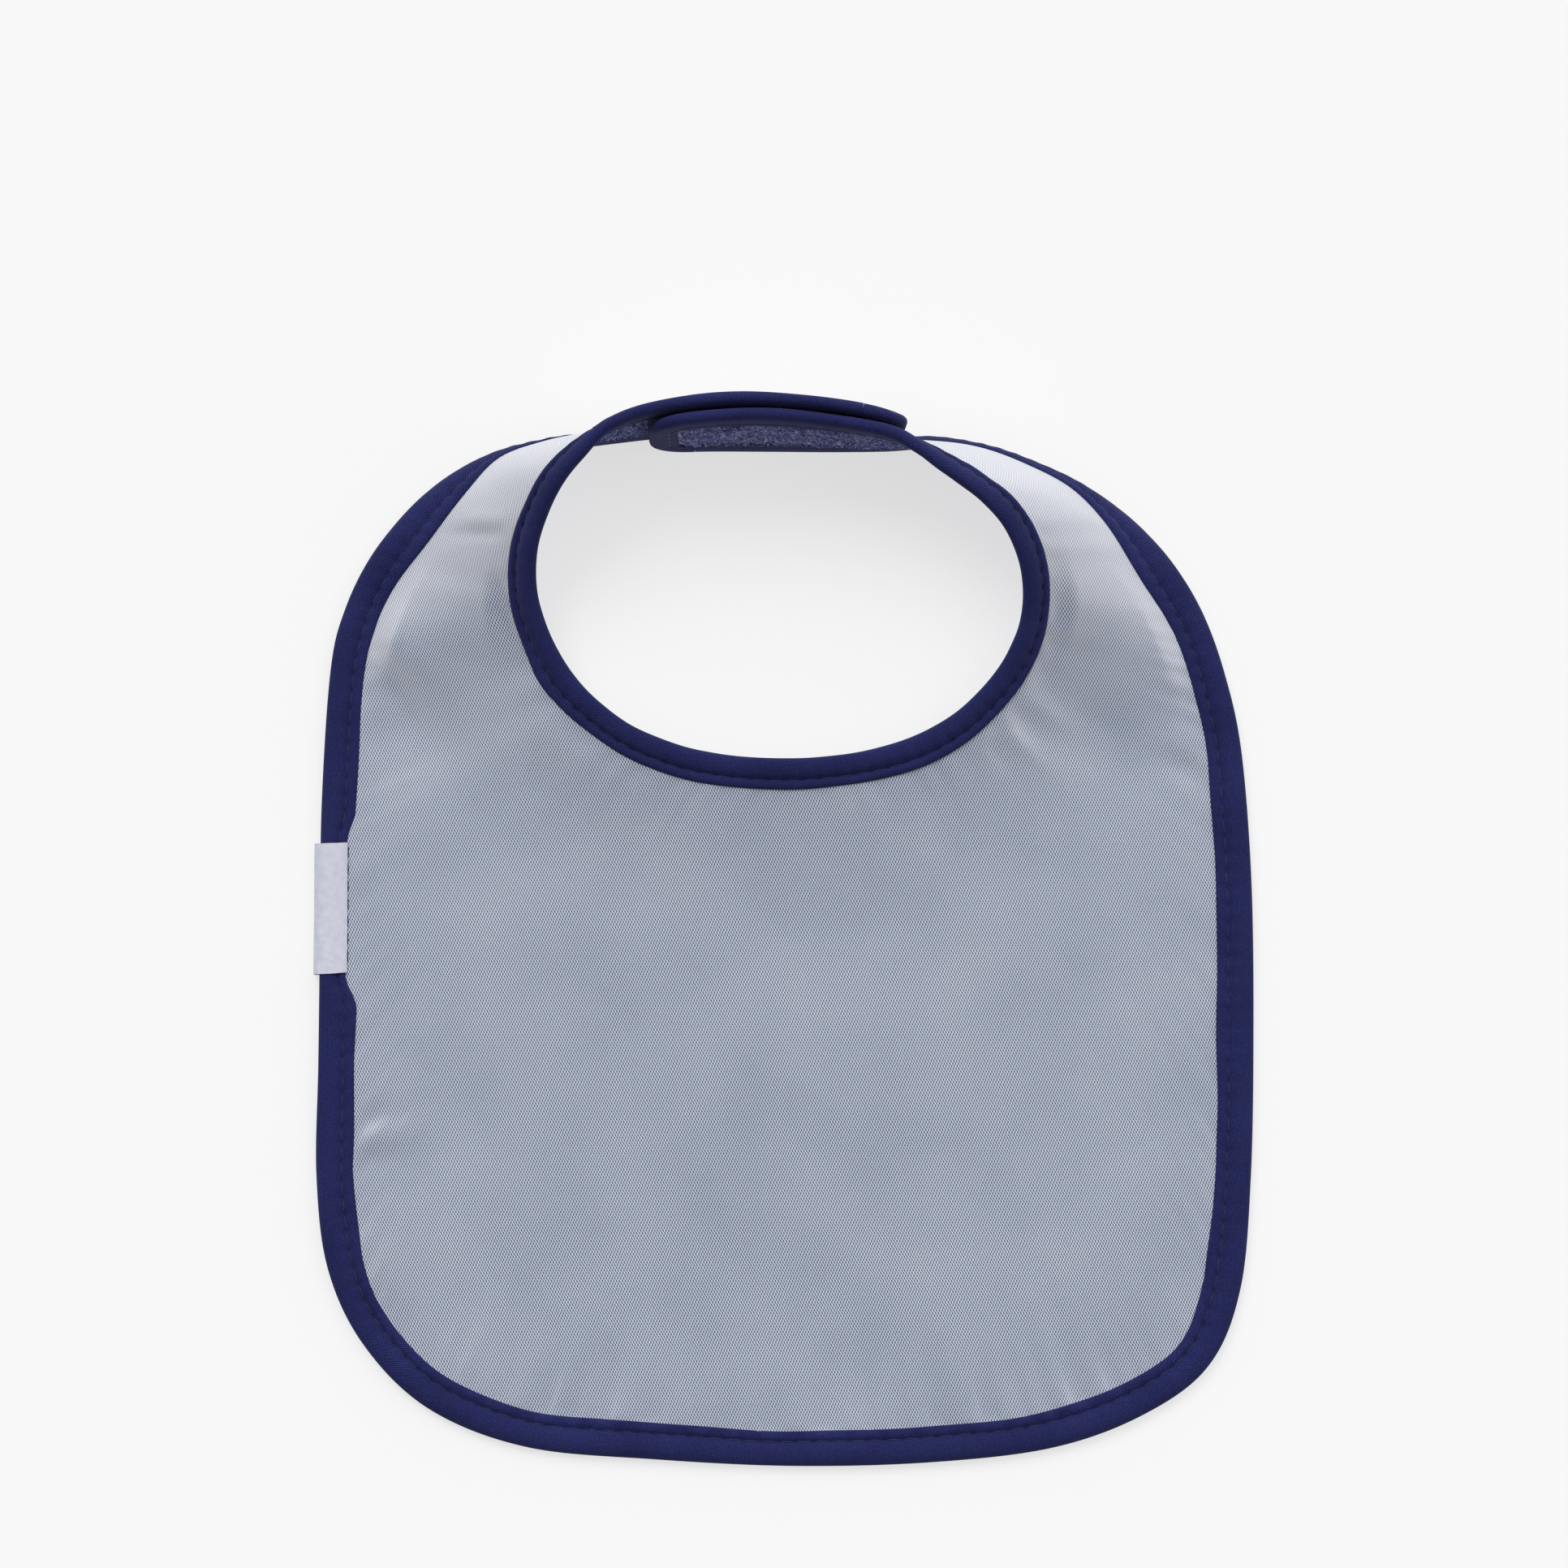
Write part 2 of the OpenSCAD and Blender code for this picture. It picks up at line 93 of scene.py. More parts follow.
class Nodes:
    """Short calls for the nodes of a material or a world."""

    def __init__(self, owner):
        owner.use_nodes = True
        self.tree = owner.node_tree

    def put(self, kind, inputs=None, **settings):
        made = self.tree.nodes.new("ShaderNode" + kind)
        for key, value in settings.items():
            setattr(made, key, value)
        for key, value in (inputs or {}).items():
            self.join(value, made.inputs[key])
        return made

    def join(self, source, target):
        if isinstance(source, (int, float, tuple)):
            target.default_value = source
        else:
            self.tree.links.new(source, target)

    def math(self, operation, a, b=0.0, c=0.0):
        return self.put("Math", {0: a, 1: b, 2: c}, operation=operation).outputs[0]

    def place_mm(self):
        """The UV's millimetres as one vector, for noise."""
        return self.put("UVMap", uv_map="flat_mm").outputs[0]

    def flat_mm(self):
        split = self.put("SeparateXYZ", {0: self.place_mm()})
        return split.outputs[0], split.outputs[1]

    def object_place(self):
        return self.put("TexCoord").outputs["Object"]

    def cosine(self, x, period):
        return self.math("COSINE", self.math("MULTIPLY", x, 2 * math.pi / period))

    def noise(self, vector, scale, detail=2.0, roughness=0.5):
        inputs = {"Vector": vector, "Scale": scale, "Detail": detail, "Roughness": roughness}
        return self.put("TexNoise", inputs).outputs[0]

    def ramp(self, value, *stops):
        """Each stop is a place and a colour: display values 0 to 255, or 4 numbers as they are."""
        made = self.put("ValToRGB", {0: value})
        band = made.color_ramp
        while len(band.elements) < len(stops):
            band.elements.new(0.5)
        for element, (place, *colour) in zip(band.elements, stops):
            element.position = place
            element.color = linear(*colour) if len(colour) == 3 else colour
        return made.outputs[0]

    def tint(self, a, b, share, blend="MIX"):
        made = self.put("Mix", {0: share, 6: a, 7: b}, data_type="RGBA", blend_type=blend)
        return made.outputs[2]

    def mottle(self, colour, place, scale, detail, dark, start=0.3):
        """Multiplies the colour by soft clouds that run from dark to white."""
        cloud = self.noise(place, scale, detail)
        shade = self.ramp(cloud, (start, *dark), (1 - start, *WHITE))
        return self.tint(colour, shade, 1.0, "MULTIPLY")

    def bump(self, height, distance, strength=1.0):
        inputs = {"Strength": strength, "Distance": distance, "Height": height}
        return self.put("Bump", inputs).outputs[0]


class Finish(Nodes):
    """A Principled material."""

    def __init__(self, name, roughness, specular=0.5, sheen=0, sheen_roughness=0.5):
        self.material = bpy.data.materials.new(name)
        super().__init__(self.material)
        self.shader = self.tree.nodes["Principled BSDF"]
        self.set("Roughness", roughness)
        self.set("Specular IOR Level", specular)
        self.set("Sheen Weight", sheen)
        self.set("Sheen Roughness", sheen_roughness)

    def set(self, socket, value):
        self.shader.inputs[socket].default_value = value

    def finish(self, colour, bump):
        self.join(colour, self.shader.inputs["Base Color"])
        self.join(bump, self.shader.inputs["Normal"])
        print("material", self.material.name, "has", len(self.tree.nodes), "nodes")
        return self.material


# %% [markdown]
# ## Camera, table and light
# The bib lies on a white table and is seen almost straight down, from its hem side, with a long
# lens. A wide soft light comes from behind on the left and a weak one from the right, under a
# white sky that is brighter behind the bib. The table glows a little, so the shadows on it are
# pale.

# %% Camera
TILT = math.radians(7)
DISTANCE = 1.1636
AIM = Vector((0, 0.0407, 0))


def in_scene(name, data):
    made = bpy.data.objects.new(name, data)
    bpy.context.scene.collection.objects.link(made)
    return made


def add_camera():
    data = bpy.data.cameras.new("camera")
    data.lens = 100
    data.sensor_width = 36
    camera = in_scene("camera", data)
    away = Vector((0, -math.sin(TILT), math.cos(TILT)))
    camera.location = AIM + away * DISTANCE
    camera.rotation_euler = (TILT, 0, 0)
    bpy.context.scene.camera = camera
    return camera


camera = add_camera()
print("camera height above the table in mm:", round(camera.location.z / MM))

# %% Table, sun and sky
SKY = 0.48
SKY_SLOPE = (0.36, 0.9, 0)
SUN = 1.7
FILL = 0.7
SUN_SPREAD = math.radians(36)
TABLE = 0.27
GLOW = 0.668


def add_table():
    bpy.ops.mesh.primitive_plane_add(size=12, location=(0, 0, -0.00015))
    table = bpy.context.object
    table.name = "table"
    table.data.materials.append(table_white())


def table_white():
    """A white sheet lit from below as well, so the shadows on it stay pale."""
    f = Finish("table_white", roughness=1, specular=0)
    f.set("Base Color", grey(TABLE))
    f.set("Emission Color", WHITE)
    f.set("Emission Strength", GLOW)
    return f.material


def add_light(name, strength, spread, towards):
    data = bpy.data.lights.new(name, "SUN")
    data.energy = strength
    data.angle = spread
    light = in_scene(name, data)
    light.rotation_euler = Vector(towards).to_track_quat("Z", "Y").to_euler()


def add_sky():
    """White from every side, and brightest from behind the bib."""
    world = bpy.data.worlds.new("sky")
    bpy.context.scene.world = world
    f = Nodes(world)
    inputs = {0: f.put("TexCoord").outputs["Generated"], 1: SKY_SLOPE}
    slope = f.put("VectorMath", inputs, operation="DOT_PRODUCT").outputs["Value"]
    sky = f.tree.nodes["Background"]
    f.join(WHITE, sky.inputs["Color"])
    f.join(f.math("MULTIPLY_ADD", slope, SKY, SKY), sky.inputs["Strength"])


add_table()
add_light("window", SUN, SUN_SPREAD, (-0.42, 0.74, 0.92))
add_light("fill", FILL, math.radians(70), (0.8, 0.5, 0.7))
add_sky()
bpy.context.scene.view_settings.view_transform = "Standard"
bpy.context.scene.view_settings.look = "None"
print("sky", SKY, "sun", SUN)

# %% [markdown]
# ## One surface for all the cloth
# Every layer follows one surface, so the layers can't drift apart. Lines across the cloth, from
# neck edge to outer edge, are given at 46 stations from one strap's tip, round the neck, to the
# other's. Each station is [neck x, y, z, outer x, y, panel share, bulge] in millimetres: a share
# of 1 lies flat as the panel does, and 0 stands on edge as a strap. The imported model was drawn
# with the same list.

# %% Stations
STATIONS = np.array([
    [32.5, 130.1, 36.5, 32.5, 134.6, 0, 0], [18, 133.7, 36.5, 18, 134.4, 0, 0],
    [4, 135.6, 36.5, 4, 134.2, 0, 0], [-10, 136.4, 36.5, -10, 134.3, 0, 0],
    [-24, 135.4, 36.5, -24, 134.4, 0, 0], [-38, 132.5, 36.5, -38, 133.3, 0, 0],
    [-46.5, 128, 36, -50.5, 131.7, 0, 1.6], [-52.5, 121.2, 34, -63.5, 129.8, 0, 4.8],
    [-57.8, 115, 30.5, -77, 126.8, 0, 5.7], [-62, 107.8, 26, -89.2, 121.6, 0.1, 4.2],
    [-65.2, 98.8, 20.5, -100.3, 113, 0.2, 3], [-65.6, 89, 15, -110.7, 100.2, 0.4, 1.4],
    [-63.2, 80, 11.5, -117.8, 85.3, 0.7, 0.6], [-59.3, 72, 9.5, -121.4, 69, 1, 0],
    [-54, 64.6, 8.6, -123.3, 33, 1, 0], [-47.8, 58.7, 8, -123.3, -2, 1, 0],
    [-40.8, 53.7, 7.6, -123.3, -36, 1, 0], [-33.3, 50.3, 7.3, -123.4, -65.7, 1, 0],
    [-26, 47.8, 7.1, -120, -90.3, 1, 0], [-19.5, 46.4, 7, -110.2, -110.2, 1, 0],
    [-13.5, 45.5, 7, -93, -126.6, 1, 0], [-7.5, 45, 7, -67.5, -136.4, 1, 0],
    [-1, 44.8, 7, -34, -139.6, 1, 0], [6, 44.9, 7, 2, -141.3, 1, 0],
    [13, 45.5, 7, 38, -140.4, 1, 0], [19.5, 46.4, 7, 70.3, -136.6, 1, 0],
    [26, 47.9, 7.1, 94.3, -128, 1, 0], [32.7, 50, 7.3, 111.4, -115.4, 1, 0],
    [39.3, 53, 7.6, 120, -95.6, 1, 0], [46, 57.2, 8.2, 123.2, -66, 1, 0],
    [51.9, 62.6, 9.1, 124.4, -28, 1, 0], [56.5, 68, 10.3, 124.4, 12, 1, 0],
    [59.7, 73.2, 12, 122.2, 47, 1, 0], [62.4, 79.8, 14.8, 118, 68, 0.8, 0.5],
    [63.2, 87.5, 18.6, 112, 85, 0.55, 1.2], [61.8, 95.5, 23, 103.8, 98.4, 0.3, 2.8],
    [57.8, 103.5, 27.5, 93, 109.4, 0.1, 4.5], [51.8, 109.7, 31, 80, 118, 0, 6.3],
    [45.5, 114.2, 33.8, 66.5, 124.2, 0, 5.8], [39.8, 118.3, 35.3, 53.5, 128.5, 0, 4.6],
    [34.3, 122.9, 36.2, 40.5, 131, 0, 1.4], [27, 127.3, 36.5, 27, 130.3, 0, 0],
    [12, 130.3, 36.5, 12, 130, 0, 0], [-4, 132, 36.5, -4, 130, 0, 0],
    [-20, 131.4, 36.5, -20, 130.1, 0, 0], [-36, 129, 36.5, -36, 129.9, 0, 0],
])
LAST = len(STATIONS) - 1
BEFORE = 2 * STATIONS[:1] - STATIONS[1:2]
AFTER = 2 * STATIONS[-1:] - STATIONS[-2:-1]
PADDED = np.vstack([BEFORE, STATIONS, AFTER])
ORIGIN_SHIFT = np.array([0, 1.96, 0])
LIFT_REACH = 50
TERRY = 1.6
SHORT_SPAN = 4
NUDGE_T, NUDGE_V = 0.05, 0.01
HEM_STATION = 23
print(len(STATIONS), "stations, hem in the middle at station", int(np.argmin(STATIONS[:, 4])))

# %% The surface, its normal and steps along it


def station(t):
    t = np.asarray(t, float)
    i = np.clip(np.floor(t).astype(int), 0, LAST - 1)
    f = (t - i)[..., None]
    a, b, c, d = (PADDED[i + k] for k in range(4))
    square = 2 * a - 5 * b + 4 * c - d
    cube = 3 * b - a - 3 * c + d
    return 0.5 * (2 * b + (c - a) * f + square * f**2 + cube * f**3)


def cloth(t, v):
    """Point of the surface at station t, a share v of the way from neck edge to outer edge.

    A bow of b mm lifts the middle of the line outwards by b. The foot is the height at which the
    terry under the outer edge just touches the table.
    """
    t, v = np.broadcast_arrays(np.asarray(t, float), np.asarray(v, float))
    s = station(t)
    neck = s[..., 0:2]
    run = s[..., 3:5] - neck
    span = length(run)
    panel = np.clip(s[..., 5], 0, 1)
    bow = np.maximum(0, s[..., 6]) * np.minimum(1, span / SHORT_SPAN)
    level = np.maximum(0, span - 4 * bow)
    foot = TERRY * level / np.maximum(np.hypot(level, s[..., 2] * (1 - panel)), 1e-6)
    reach = np.clip(span, 1, LIFT_REACH)
    curl = np.maximum(0, 1 - v * span / reach) ** 2
    lift = (1 - panel) * (1 - v) + panel * curl
    outwards = run / np.maximum(span, 0.01)[..., None]
    flat = neck + run * v[..., None] + outwards * (bow * 4 * v * (1 - v))[..., None]
    z = foot + (s[..., 2] - foot) * lift
    return np.concatenate([flat, z[..., None]], axis=-1) + ORIGIN_SHIFT


def along(t, v):
    return (cloth(t + NUDGE_T, v) - cloth(t - NUDGE_T, v)) / (2 * NUDGE_T)


def across(t, v):
    return (cloth(t, v + NUDGE_V) - cloth(t, v - NUDGE_V)) / (2 * NUDGE_V)


def length(a):
    return np.linalg.norm(a, axis=-1)


def unit(a):
    return a / np.maximum(length(a)[..., None], 1e-9)


def dot(a, b):
    return (a * b).sum(axis=-1)


def arc_length(points):
    """Distance along a row of points, from the first to each of them."""
    return np.concatenate([[0], np.cumsum(length(np.diff(points, axis=0)))])


def normal(t, v):
    return unit(np.cross(across(t, v), along(t, v)))


def raised(t, v, height):
    return cloth(t, v) + normal(t, v) * np.asarray(height)[..., None]


def square_part(t, v):
    """Millimetres square to the edge for a whole step of v."""
    u, w = along(t, v), across(t, v)
    return length(w - u * (dot(w, u) / dot(u, u))[..., None])


def inwards(t, v, s):
    """Steps s mm in from the nearer edge, square to it."""
    u, w = along(t, v), across(t, v)
    k = dot(w, u) / np.maximum(dot(u, u), 1e-9)
    away = length(w - u * k[..., None])
    dv = np.where(v < 0.5, 1, -1) * s / np.maximum(away, 1e-9)
    return t - k * dv, v + dv


TIP_RADIUS = 10
STEP = {
    "outer": float(length(cloth(1, 0.5) - cloth(0, 0.5))),
    "inner": float(length(cloth(LAST, 0.5) - cloth(LAST - 1, 0.5))),
}
STRAP_WIDTH = float(length(cloth(0, 1) - cloth(0, 0)))
CORNER = STRAP_WIDTH / 2 - TIP_RADIUS
print("strap width in mm:", round(STRAP_WIDTH, 2))


def tip_t(strap, d):
    """Station at d mm from a strap's end."""
    return d / STEP["outer"] if strap == "outer" else LAST - d / STEP["inner"]


def tip_distance(strap, t):
    """Millimetres from a strap's end to station t."""
    return t * STEP["outer"] if strap == "outer" else (LAST - t) * STEP["inner"]


# %% [markdown]
# ## The flat cut
# A weave runs straight on the flat cut and bends with the cloth. So the surface is unrolled in
# narrow triangles, from the middle of the hem out to both strap tips. A point's unrolled place, in
# millimetres, becomes its UV, and the weaves are drawn in those millimetres.

# %% Unrolling the surface
UNROLL_T = np.arange(0, LAST + 0.001, 0.125)


def third_corner(p, q, from_p, from_q, side):
    """Corner of a triangle on the line p-q, at the given distances, on one side of it."""
    gap = length(q - p)
    x = (from_p**2 - from_q**2 + gap**2) / (2 * gap)
    y = math.sqrt(max(0, from_p**2 - x**2)) * side
    e = (q - p) / gap
    return p + e * x + np.array([-e[1], e[0]]) * y


def unroll():
    neck, outer = cloth(UNROLL_T, 0), cloth(UNROLL_T, 1)
    flat_neck, flat_outer = neck[:, :2].copy(), outer[:, :2].copy()
    start = int(np.searchsorted(UNROLL_T, HEM_STATION))

    def far(a, b):
        return float(length(a - b))

    for step, side in ((1, 1), (-1, -1)):
        i = start
        while 0 <= i + step < len(UNROLL_T):
            j = i + step
            flat_outer[j] = third_corner(
                flat_neck[i], flat_outer[i], far(neck[i], outer[j]), far(outer[i], outer[j]), side)
            flat_neck[j] = third_corner(
                flat_neck[i], flat_outer[j], far(neck[i], neck[j]), far(outer[j], neck[j]), side)
            i = j
    return flat_neck, flat_outer


FLAT_NECK, FLAT_OUTER = unroll()


def flat_place(t, v):
    def at(edge):
        return np.stack([np.interp(t, UNROLL_T, edge[:, k]) for k in (0, 1)], axis=-1)
    v = np.asarray(v)[..., None]
    return at(FLAT_NECK) * (1 - v) + at(FLAT_OUTER) * v


flat_ends = np.vstack([FLAT_NECK, FLAT_OUTER])
print("flat cut in mm:", np.round(flat_ends.max(0) - flat_ends.min(0)))

# %% [markdown]
# ## Soft folds and puckers
# Long, low ridges and hollows cross the panel, and short puckers stand square to the hem where the
# stitches draw it up. Each ridge is one bell curve.

# %% Ridges, hollows and puckers
# [x, y, direction in degrees, half length, half width, height]
RIDGES = np.array([
    [-104, 66, -56, 13, 5, -0.9], [-108, 80, -50, 15, 8, 0.8],
    [-73, 57, -30, 32, 12, 0.9], [59, 54, -42, 10, 2.4, 0.5],
    [55, 50, -50, 10, 2.2, -0.35], [67, 61, -30, 13, 3.2, 0.45],
    [70, 75, 20, 17, 5, -0.6], [85, 65, -25, 19, 8, 0.8],
    [111, 50, -20, 9, 2.8, 0.5], [111, 44, -14, 9, 2.6, -0.35],
    [-111, -49, 15, 11, 2.4, -0.5], [-110, -54, 12, 13, 3, 0.5],
    [-111, -60, 8, 11, 2.8, -0.35], [-80, -110, 72, 15, 3, 0.5],
    [-73, -108, 74, 15, 2.8, -0.4], [-57, -118, 80, 13, 2.6, 0.45],
    [-45, -120, 84, 13, 2.4, -0.35], [-17, -114, 86, 22, 5, 0.4],
    [46, -110, 96, 22, 5, 0.4], [48, 11, -35, 32, 15, 0.6],
    [-97, -82, 50, 30, 15, 0.7], [94, -73, 60, 32, 15, 0.6],
    [-79, 106, -8, 9, 1.8, -0.5], [-79, 110, -8, 9, 2.2, 0.35],
    [20, -30, 12, 60, 26, 0.5], [-40, 10, 5, 50, 24, 0.4],
    [-94, 80, 8, 28, 14, 2.3], [-98, 52, 12, 26, 13, -1.0],
    [90, 82, -14, 25, 14, 2.1], [82, 54, -25, 26, 12, -0.9],
])


# Stations between which the puckers of the hem, the sides and the neck are at their deepest
HEM, SIDES, NECK = (19.5, 26.6), (12, 35), (8, 38)
HEM_PUCKER, SIDE_PUCKER, NECK_PUCKER = 0.62, 0.16, 0.16
UNDER_TAPE, CLEAR_OF_TAPE = 7.5, 9
FOLDS_FROM = 8


def ease(x):
    """Rises softly from 0 to 1 as x does."""
    x = np.clip(x, 0, 1)
    return x * x * (3 - 2 * x)


def edge_distance(t, v, strap=""):
    """Millimetres in from the nearest edge of the cloth."""
    s = np.minimum(v * square_part(t, 0 * t), (1 - v) * square_part(t, 0 * t + 1))
    if strap:
        d = tip_distance(strap, t)
        e = np.abs(v - 0.5) * STRAP_WIDTH
        round_end = TIP_RADIUS - np.hypot(TIP_RADIUS - d, np.maximum(0, e - CORNER))
        s = np.where(d < TIP_RADIUS, np.minimum(s, round_end), s)
    return s


def swell(t, v, s):
    """How far the cloth rises above its smooth surface, in mm."""
    x, y = np.moveaxis(cloth(t, v)[..., :2], -1, 0)
    rise = 0
    for rx, ry, turn, reach, width, height in RIDGES:
        turn = math.radians(turn)
        dx, dy = x - rx, y - ry
        lengthwise = dx * math.cos(turn) + dy * math.sin(turn)
        sideways = -dx * math.sin(turn) + dy * math.cos(turn)
        rise = rise + height * np.exp(-((lengthwise / reach) ** 2) - (sideways / width) ** 2)
    rise = rise * ease((s - FOLDS_FROM) / FOLDS_FROM)
    hem = ease((t - HEM[0]) / 2) * ease((HEM[1] - t) / 1.5)
    side = ease((t - SIDES[0]) / 1.5) * ease((SIDES[1] - t) / 2)
    on_panel = ease((t - NECK[0]) / 3) * ease((NECK[1] - t) / 3)
    outer_half = ease((v - 0.5) / 0.2)
    past_tape = ease((s - UNDER_TAPE) / 3)
    past = -np.maximum(0, s - CLEAR_OF_TAPE)
    outer_waves = np.sin(t * 19.7 + 1.4 * np.sin(t * 5.3)) * np.exp(past / 12)
    neck_waves = np.sin(t * 6.1 + np.sin(t * 2.3)) * np.exp(past / 10)
    depth = HEM_PUCKER * hem + SIDE_PUCKER * side
    rise = rise + outer_waves * outer_half * depth * past_tape
    return rise + neck_waves * NECK_PUCKER * on_panel * (1 - outer_half) * past_tape


# %% [markdown]
# ## Turning rows of points into cloth
# A sheet is a closed slab: a grid of points on top, the same grid underneath and a rim between. A
# binding is a profile carried along an edge. The UV map of both holds millimetres.

# %% Mesh helpers
SMOOTH_UP_TO = math.radians(50)


def make_mesh(name, points, faces, uv, finish):
    """points and uv are in millimetres, and faces are lists of point numbers."""
    mesh = bpy.data.meshes.new(name)
    mesh.from_pydata((points * MM).tolist(), [], faces)
    layer = mesh.uv_layers.new(name="flat_mm")
    corner = np.zeros(len(mesh.loops), np.int32)
    mesh.loops.foreach_get("vertex_index", corner)
    layer.data.foreach_set("uv", np.asarray(uv, np.float32)[corner].ravel())
    mesh.materials.append(FINISH[finish])
    if signed_volume(mesh) < 0:
        mesh.flip_normals()
    mesh.shade_smooth()
    mesh.set_sharp_from_angle(angle=SMOOTH_UP_TO)
    mesh.calc_loop_triangles()
    print(f"{name}: {len(mesh.loop_triangles)} triangles")
    return in_scene(name, mesh)


def signed_volume(mesh):
    mesh.calc_loop_triangles()
    co = np.zeros(len(mesh.vertices) * 3)
    mesh.vertices.foreach_get("co", co)
    tri = np.zeros(len(mesh.loop_triangles) * 3, np.int32)
    mesh.loop_triangles.foreach_get("vertices", tri)
    a, b, c = np.moveaxis(co.reshape(-1, 3)[tri.reshape(-1, 3)], 1, 0)
    return float(dot(a, np.cross(b, c)).sum() / 6)


def strip(a, b, c, d):
    return np.stack([a, b, c, d], axis=-1).reshape(-1, 4)


def slab_faces(rows, columns):
    top = np.arange(rows * columns).reshape(rows, columns)
    low = top + rows * columns
    return np.vstack([
        strip(top[:-1, :-1], top[:-1, 1:], top[1:, 1:], top[1:, :-1]),
        strip(low[:-1, :-1], low[1:, :-1], low[1:, 1:], low[:-1, 1:]),
        strip(top[:-1, 0], top[1:, 0], low[1:, 0], low[:-1, 0]),
        strip(top[1:, -1], top[:-1, -1], low[:-1, -1], low[1:, -1]),
        strip(top[0, 1:], top[0, :-1], low[0, :-1], low[0, 1:]),
        strip(top[-1, :-1], top[-1, 1:], low[-1, 1:], low[-1, :-1]),
    ]).tolist()


def slab(name, t, v, top, low, finish):
    points = np.vstack([raised(t, v, h).reshape(-1, 3) for h in (top, low)])
    uv = flat_place(t, v).reshape(-1, 2)
    return make_mesh(name, points, slab_faces(*t.shape), np.vstack([uv, uv]), finish)


def tube_faces(rings, count):
    ring = np.arange(rings * count).reshape(rings, count)
    side = strip(ring[:-1], np.roll(ring[:-1], -1, 1), np.roll(ring[1:], -1, 1), ring[1:])
    return side.tolist() + [ring[0][::-1].tolist(), ring[-1].tolist()]


# %% [markdown]
# ## Materials
# The coated backing shows a lattice of dark pinholes between pale yarns, about 0.75 mm apart and
# staggered from row to row, which is two cosines multiplied. Where the cloth turns away from view
# it
# is tinted paler: a painted sheen, which also stands for the yarns hiding the pinholes at a slant.
# The binding is cut on the bias, so its yarns cross at 45 degrees to the tape. The terry is a slate
# blue pile, and the label is bright woven satin.

# %% Coated backing cloth
PINHOLE_ACROSS = 0.746
PINHOLE_DOWN = 1.394


def coated_cloth():
    f = Finish("pinhole_cloth", roughness=0.42, specular=0.45, sheen=0.15)
    x, y = f.flat_mm()
    wobble = f.noise(f.place_mm(), 0.35, 1.0)
    x = f.math("ADD", x, f.math("MULTIPLY", wobble, 0.25))
    lean = f.math("MULTIPLY_ADD", y, 0.12, x)
    dots = f.math("MULTIPLY", f.cosine(lean, PINHOLE_ACROSS), f.cosine(y, PINHOLE_DOWN))
    level = f.math("MULTIPLY_ADD", dots, 0.5, 0.5)
    weave = f.ramp(level, (0.0, 225, 232, 245), (0.38, 202, 208, 222), (0.6, 142, 151, 169),
                   (0.84, 56, 66, 92))
    colour = f.mottle(weave, f.place_mm(), 0.03, 3.0, (238, 240, 244))
    colour = f.mottle(colour, f.place_mm(), 2.6, 2.0, (228, 229, 232), start=0.25)
    # Painted sheen: the colour turns paler where the cloth faces away from view, which also stands
    # for the yarns hiding the pinholes
    away = f.put("LayerWeight", {"Blend": 0.5}).outputs["Facing"]
    turned = f.ramp(away, (0.015, *grey(0)), (0.1, *grey(0.34)),
                    (0.4, *grey(0.58)))
    colour = f.tint(colour, linear(226, 225, 230), turned)
    knots = f.bump(f.math("SUBTRACT", 1.0, level), 0.00008, 0.7)
    return f.finish(colour, knots)


# %% Navy bias binding
BIAS_YARN = 0.37


def bias_weave():
    f = Finish("bias_weave", roughness=0.8, specular=0.12, sheen=0.05, sheen_roughness=0.4)
    x, y = f.flat_mm()
    wobble = f.math("MULTIPLY", f.noise(f.place_mm(), 0.12, 2.0), 1.1)
    one = f.math("ADD", f.math("ADD", x, y), wobble)
    other = f.math("SUBTRACT", x, y)
    period = BIAS_YARN * math.sqrt(2)
    warp, weft = f.cosine(one, period), f.cosine(other, period)
    level = f.math("MULTIPLY_ADD", warp, 0.3, f.math("MULTIPLY_ADD", weft, 0.2, 0.5))
    slub = f.noise(f.place_mm(), 1.7, 3.0, 0.6)
    level = f.math("ADD", level, f.math("MULTIPLY_ADD", slub, 0.6, -0.3))
    colour = f.ramp(level, (0.2, 6, 7, 40), (0.5, 25, 29, 80), (0.82, 62, 68, 132))
    colour = f.mottle(colour, f.object_place(), 60.0, 2.0, (222, 224, 230))
    return f.finish(colour, f.bump(level, 0.00012, 1.0))


# %% Slate terry
def terry_pile():
    f = Finish("terry_pile", roughness=0.95, specular=0.08, sheen=0.16, sheen_roughness=0.4)
    place = f.object_place()
    fine = f.noise(place, 900.0, 3.0, 0.6)
    clump = f.noise(place, 520.0, 2.0)
    level = f.math("MULTIPLY_ADD", clump, 0.42, f.math("MULTIPLY", fine, 0.58))
    colour = f.ramp(level, (0.34, 70, 72, 116), (0.5, 122, 125, 176), (0.64, 182, 186, 222))
    return f.finish(colour, f.bump(level, 0.0006, 0.8))


# %% Thread, satin and the two closure tapes
def sewing_thread():
    f = Finish("sewing_thread", roughness=0.5, specular=0.4, sheen=0.1)
    twist = f.cosine(f.noise(f.object_place(), 3000.0, 1.0), 0.2)
    level = f.math("MULTIPLY_ADD", twist, 0.5, 0.5)
    colour = f.ramp(level, (0.0, 12, 13, 44), (1.0, 38, 42, 90))
    return f.finish(colour, f.bump(twist, 0.00005, 0.5))


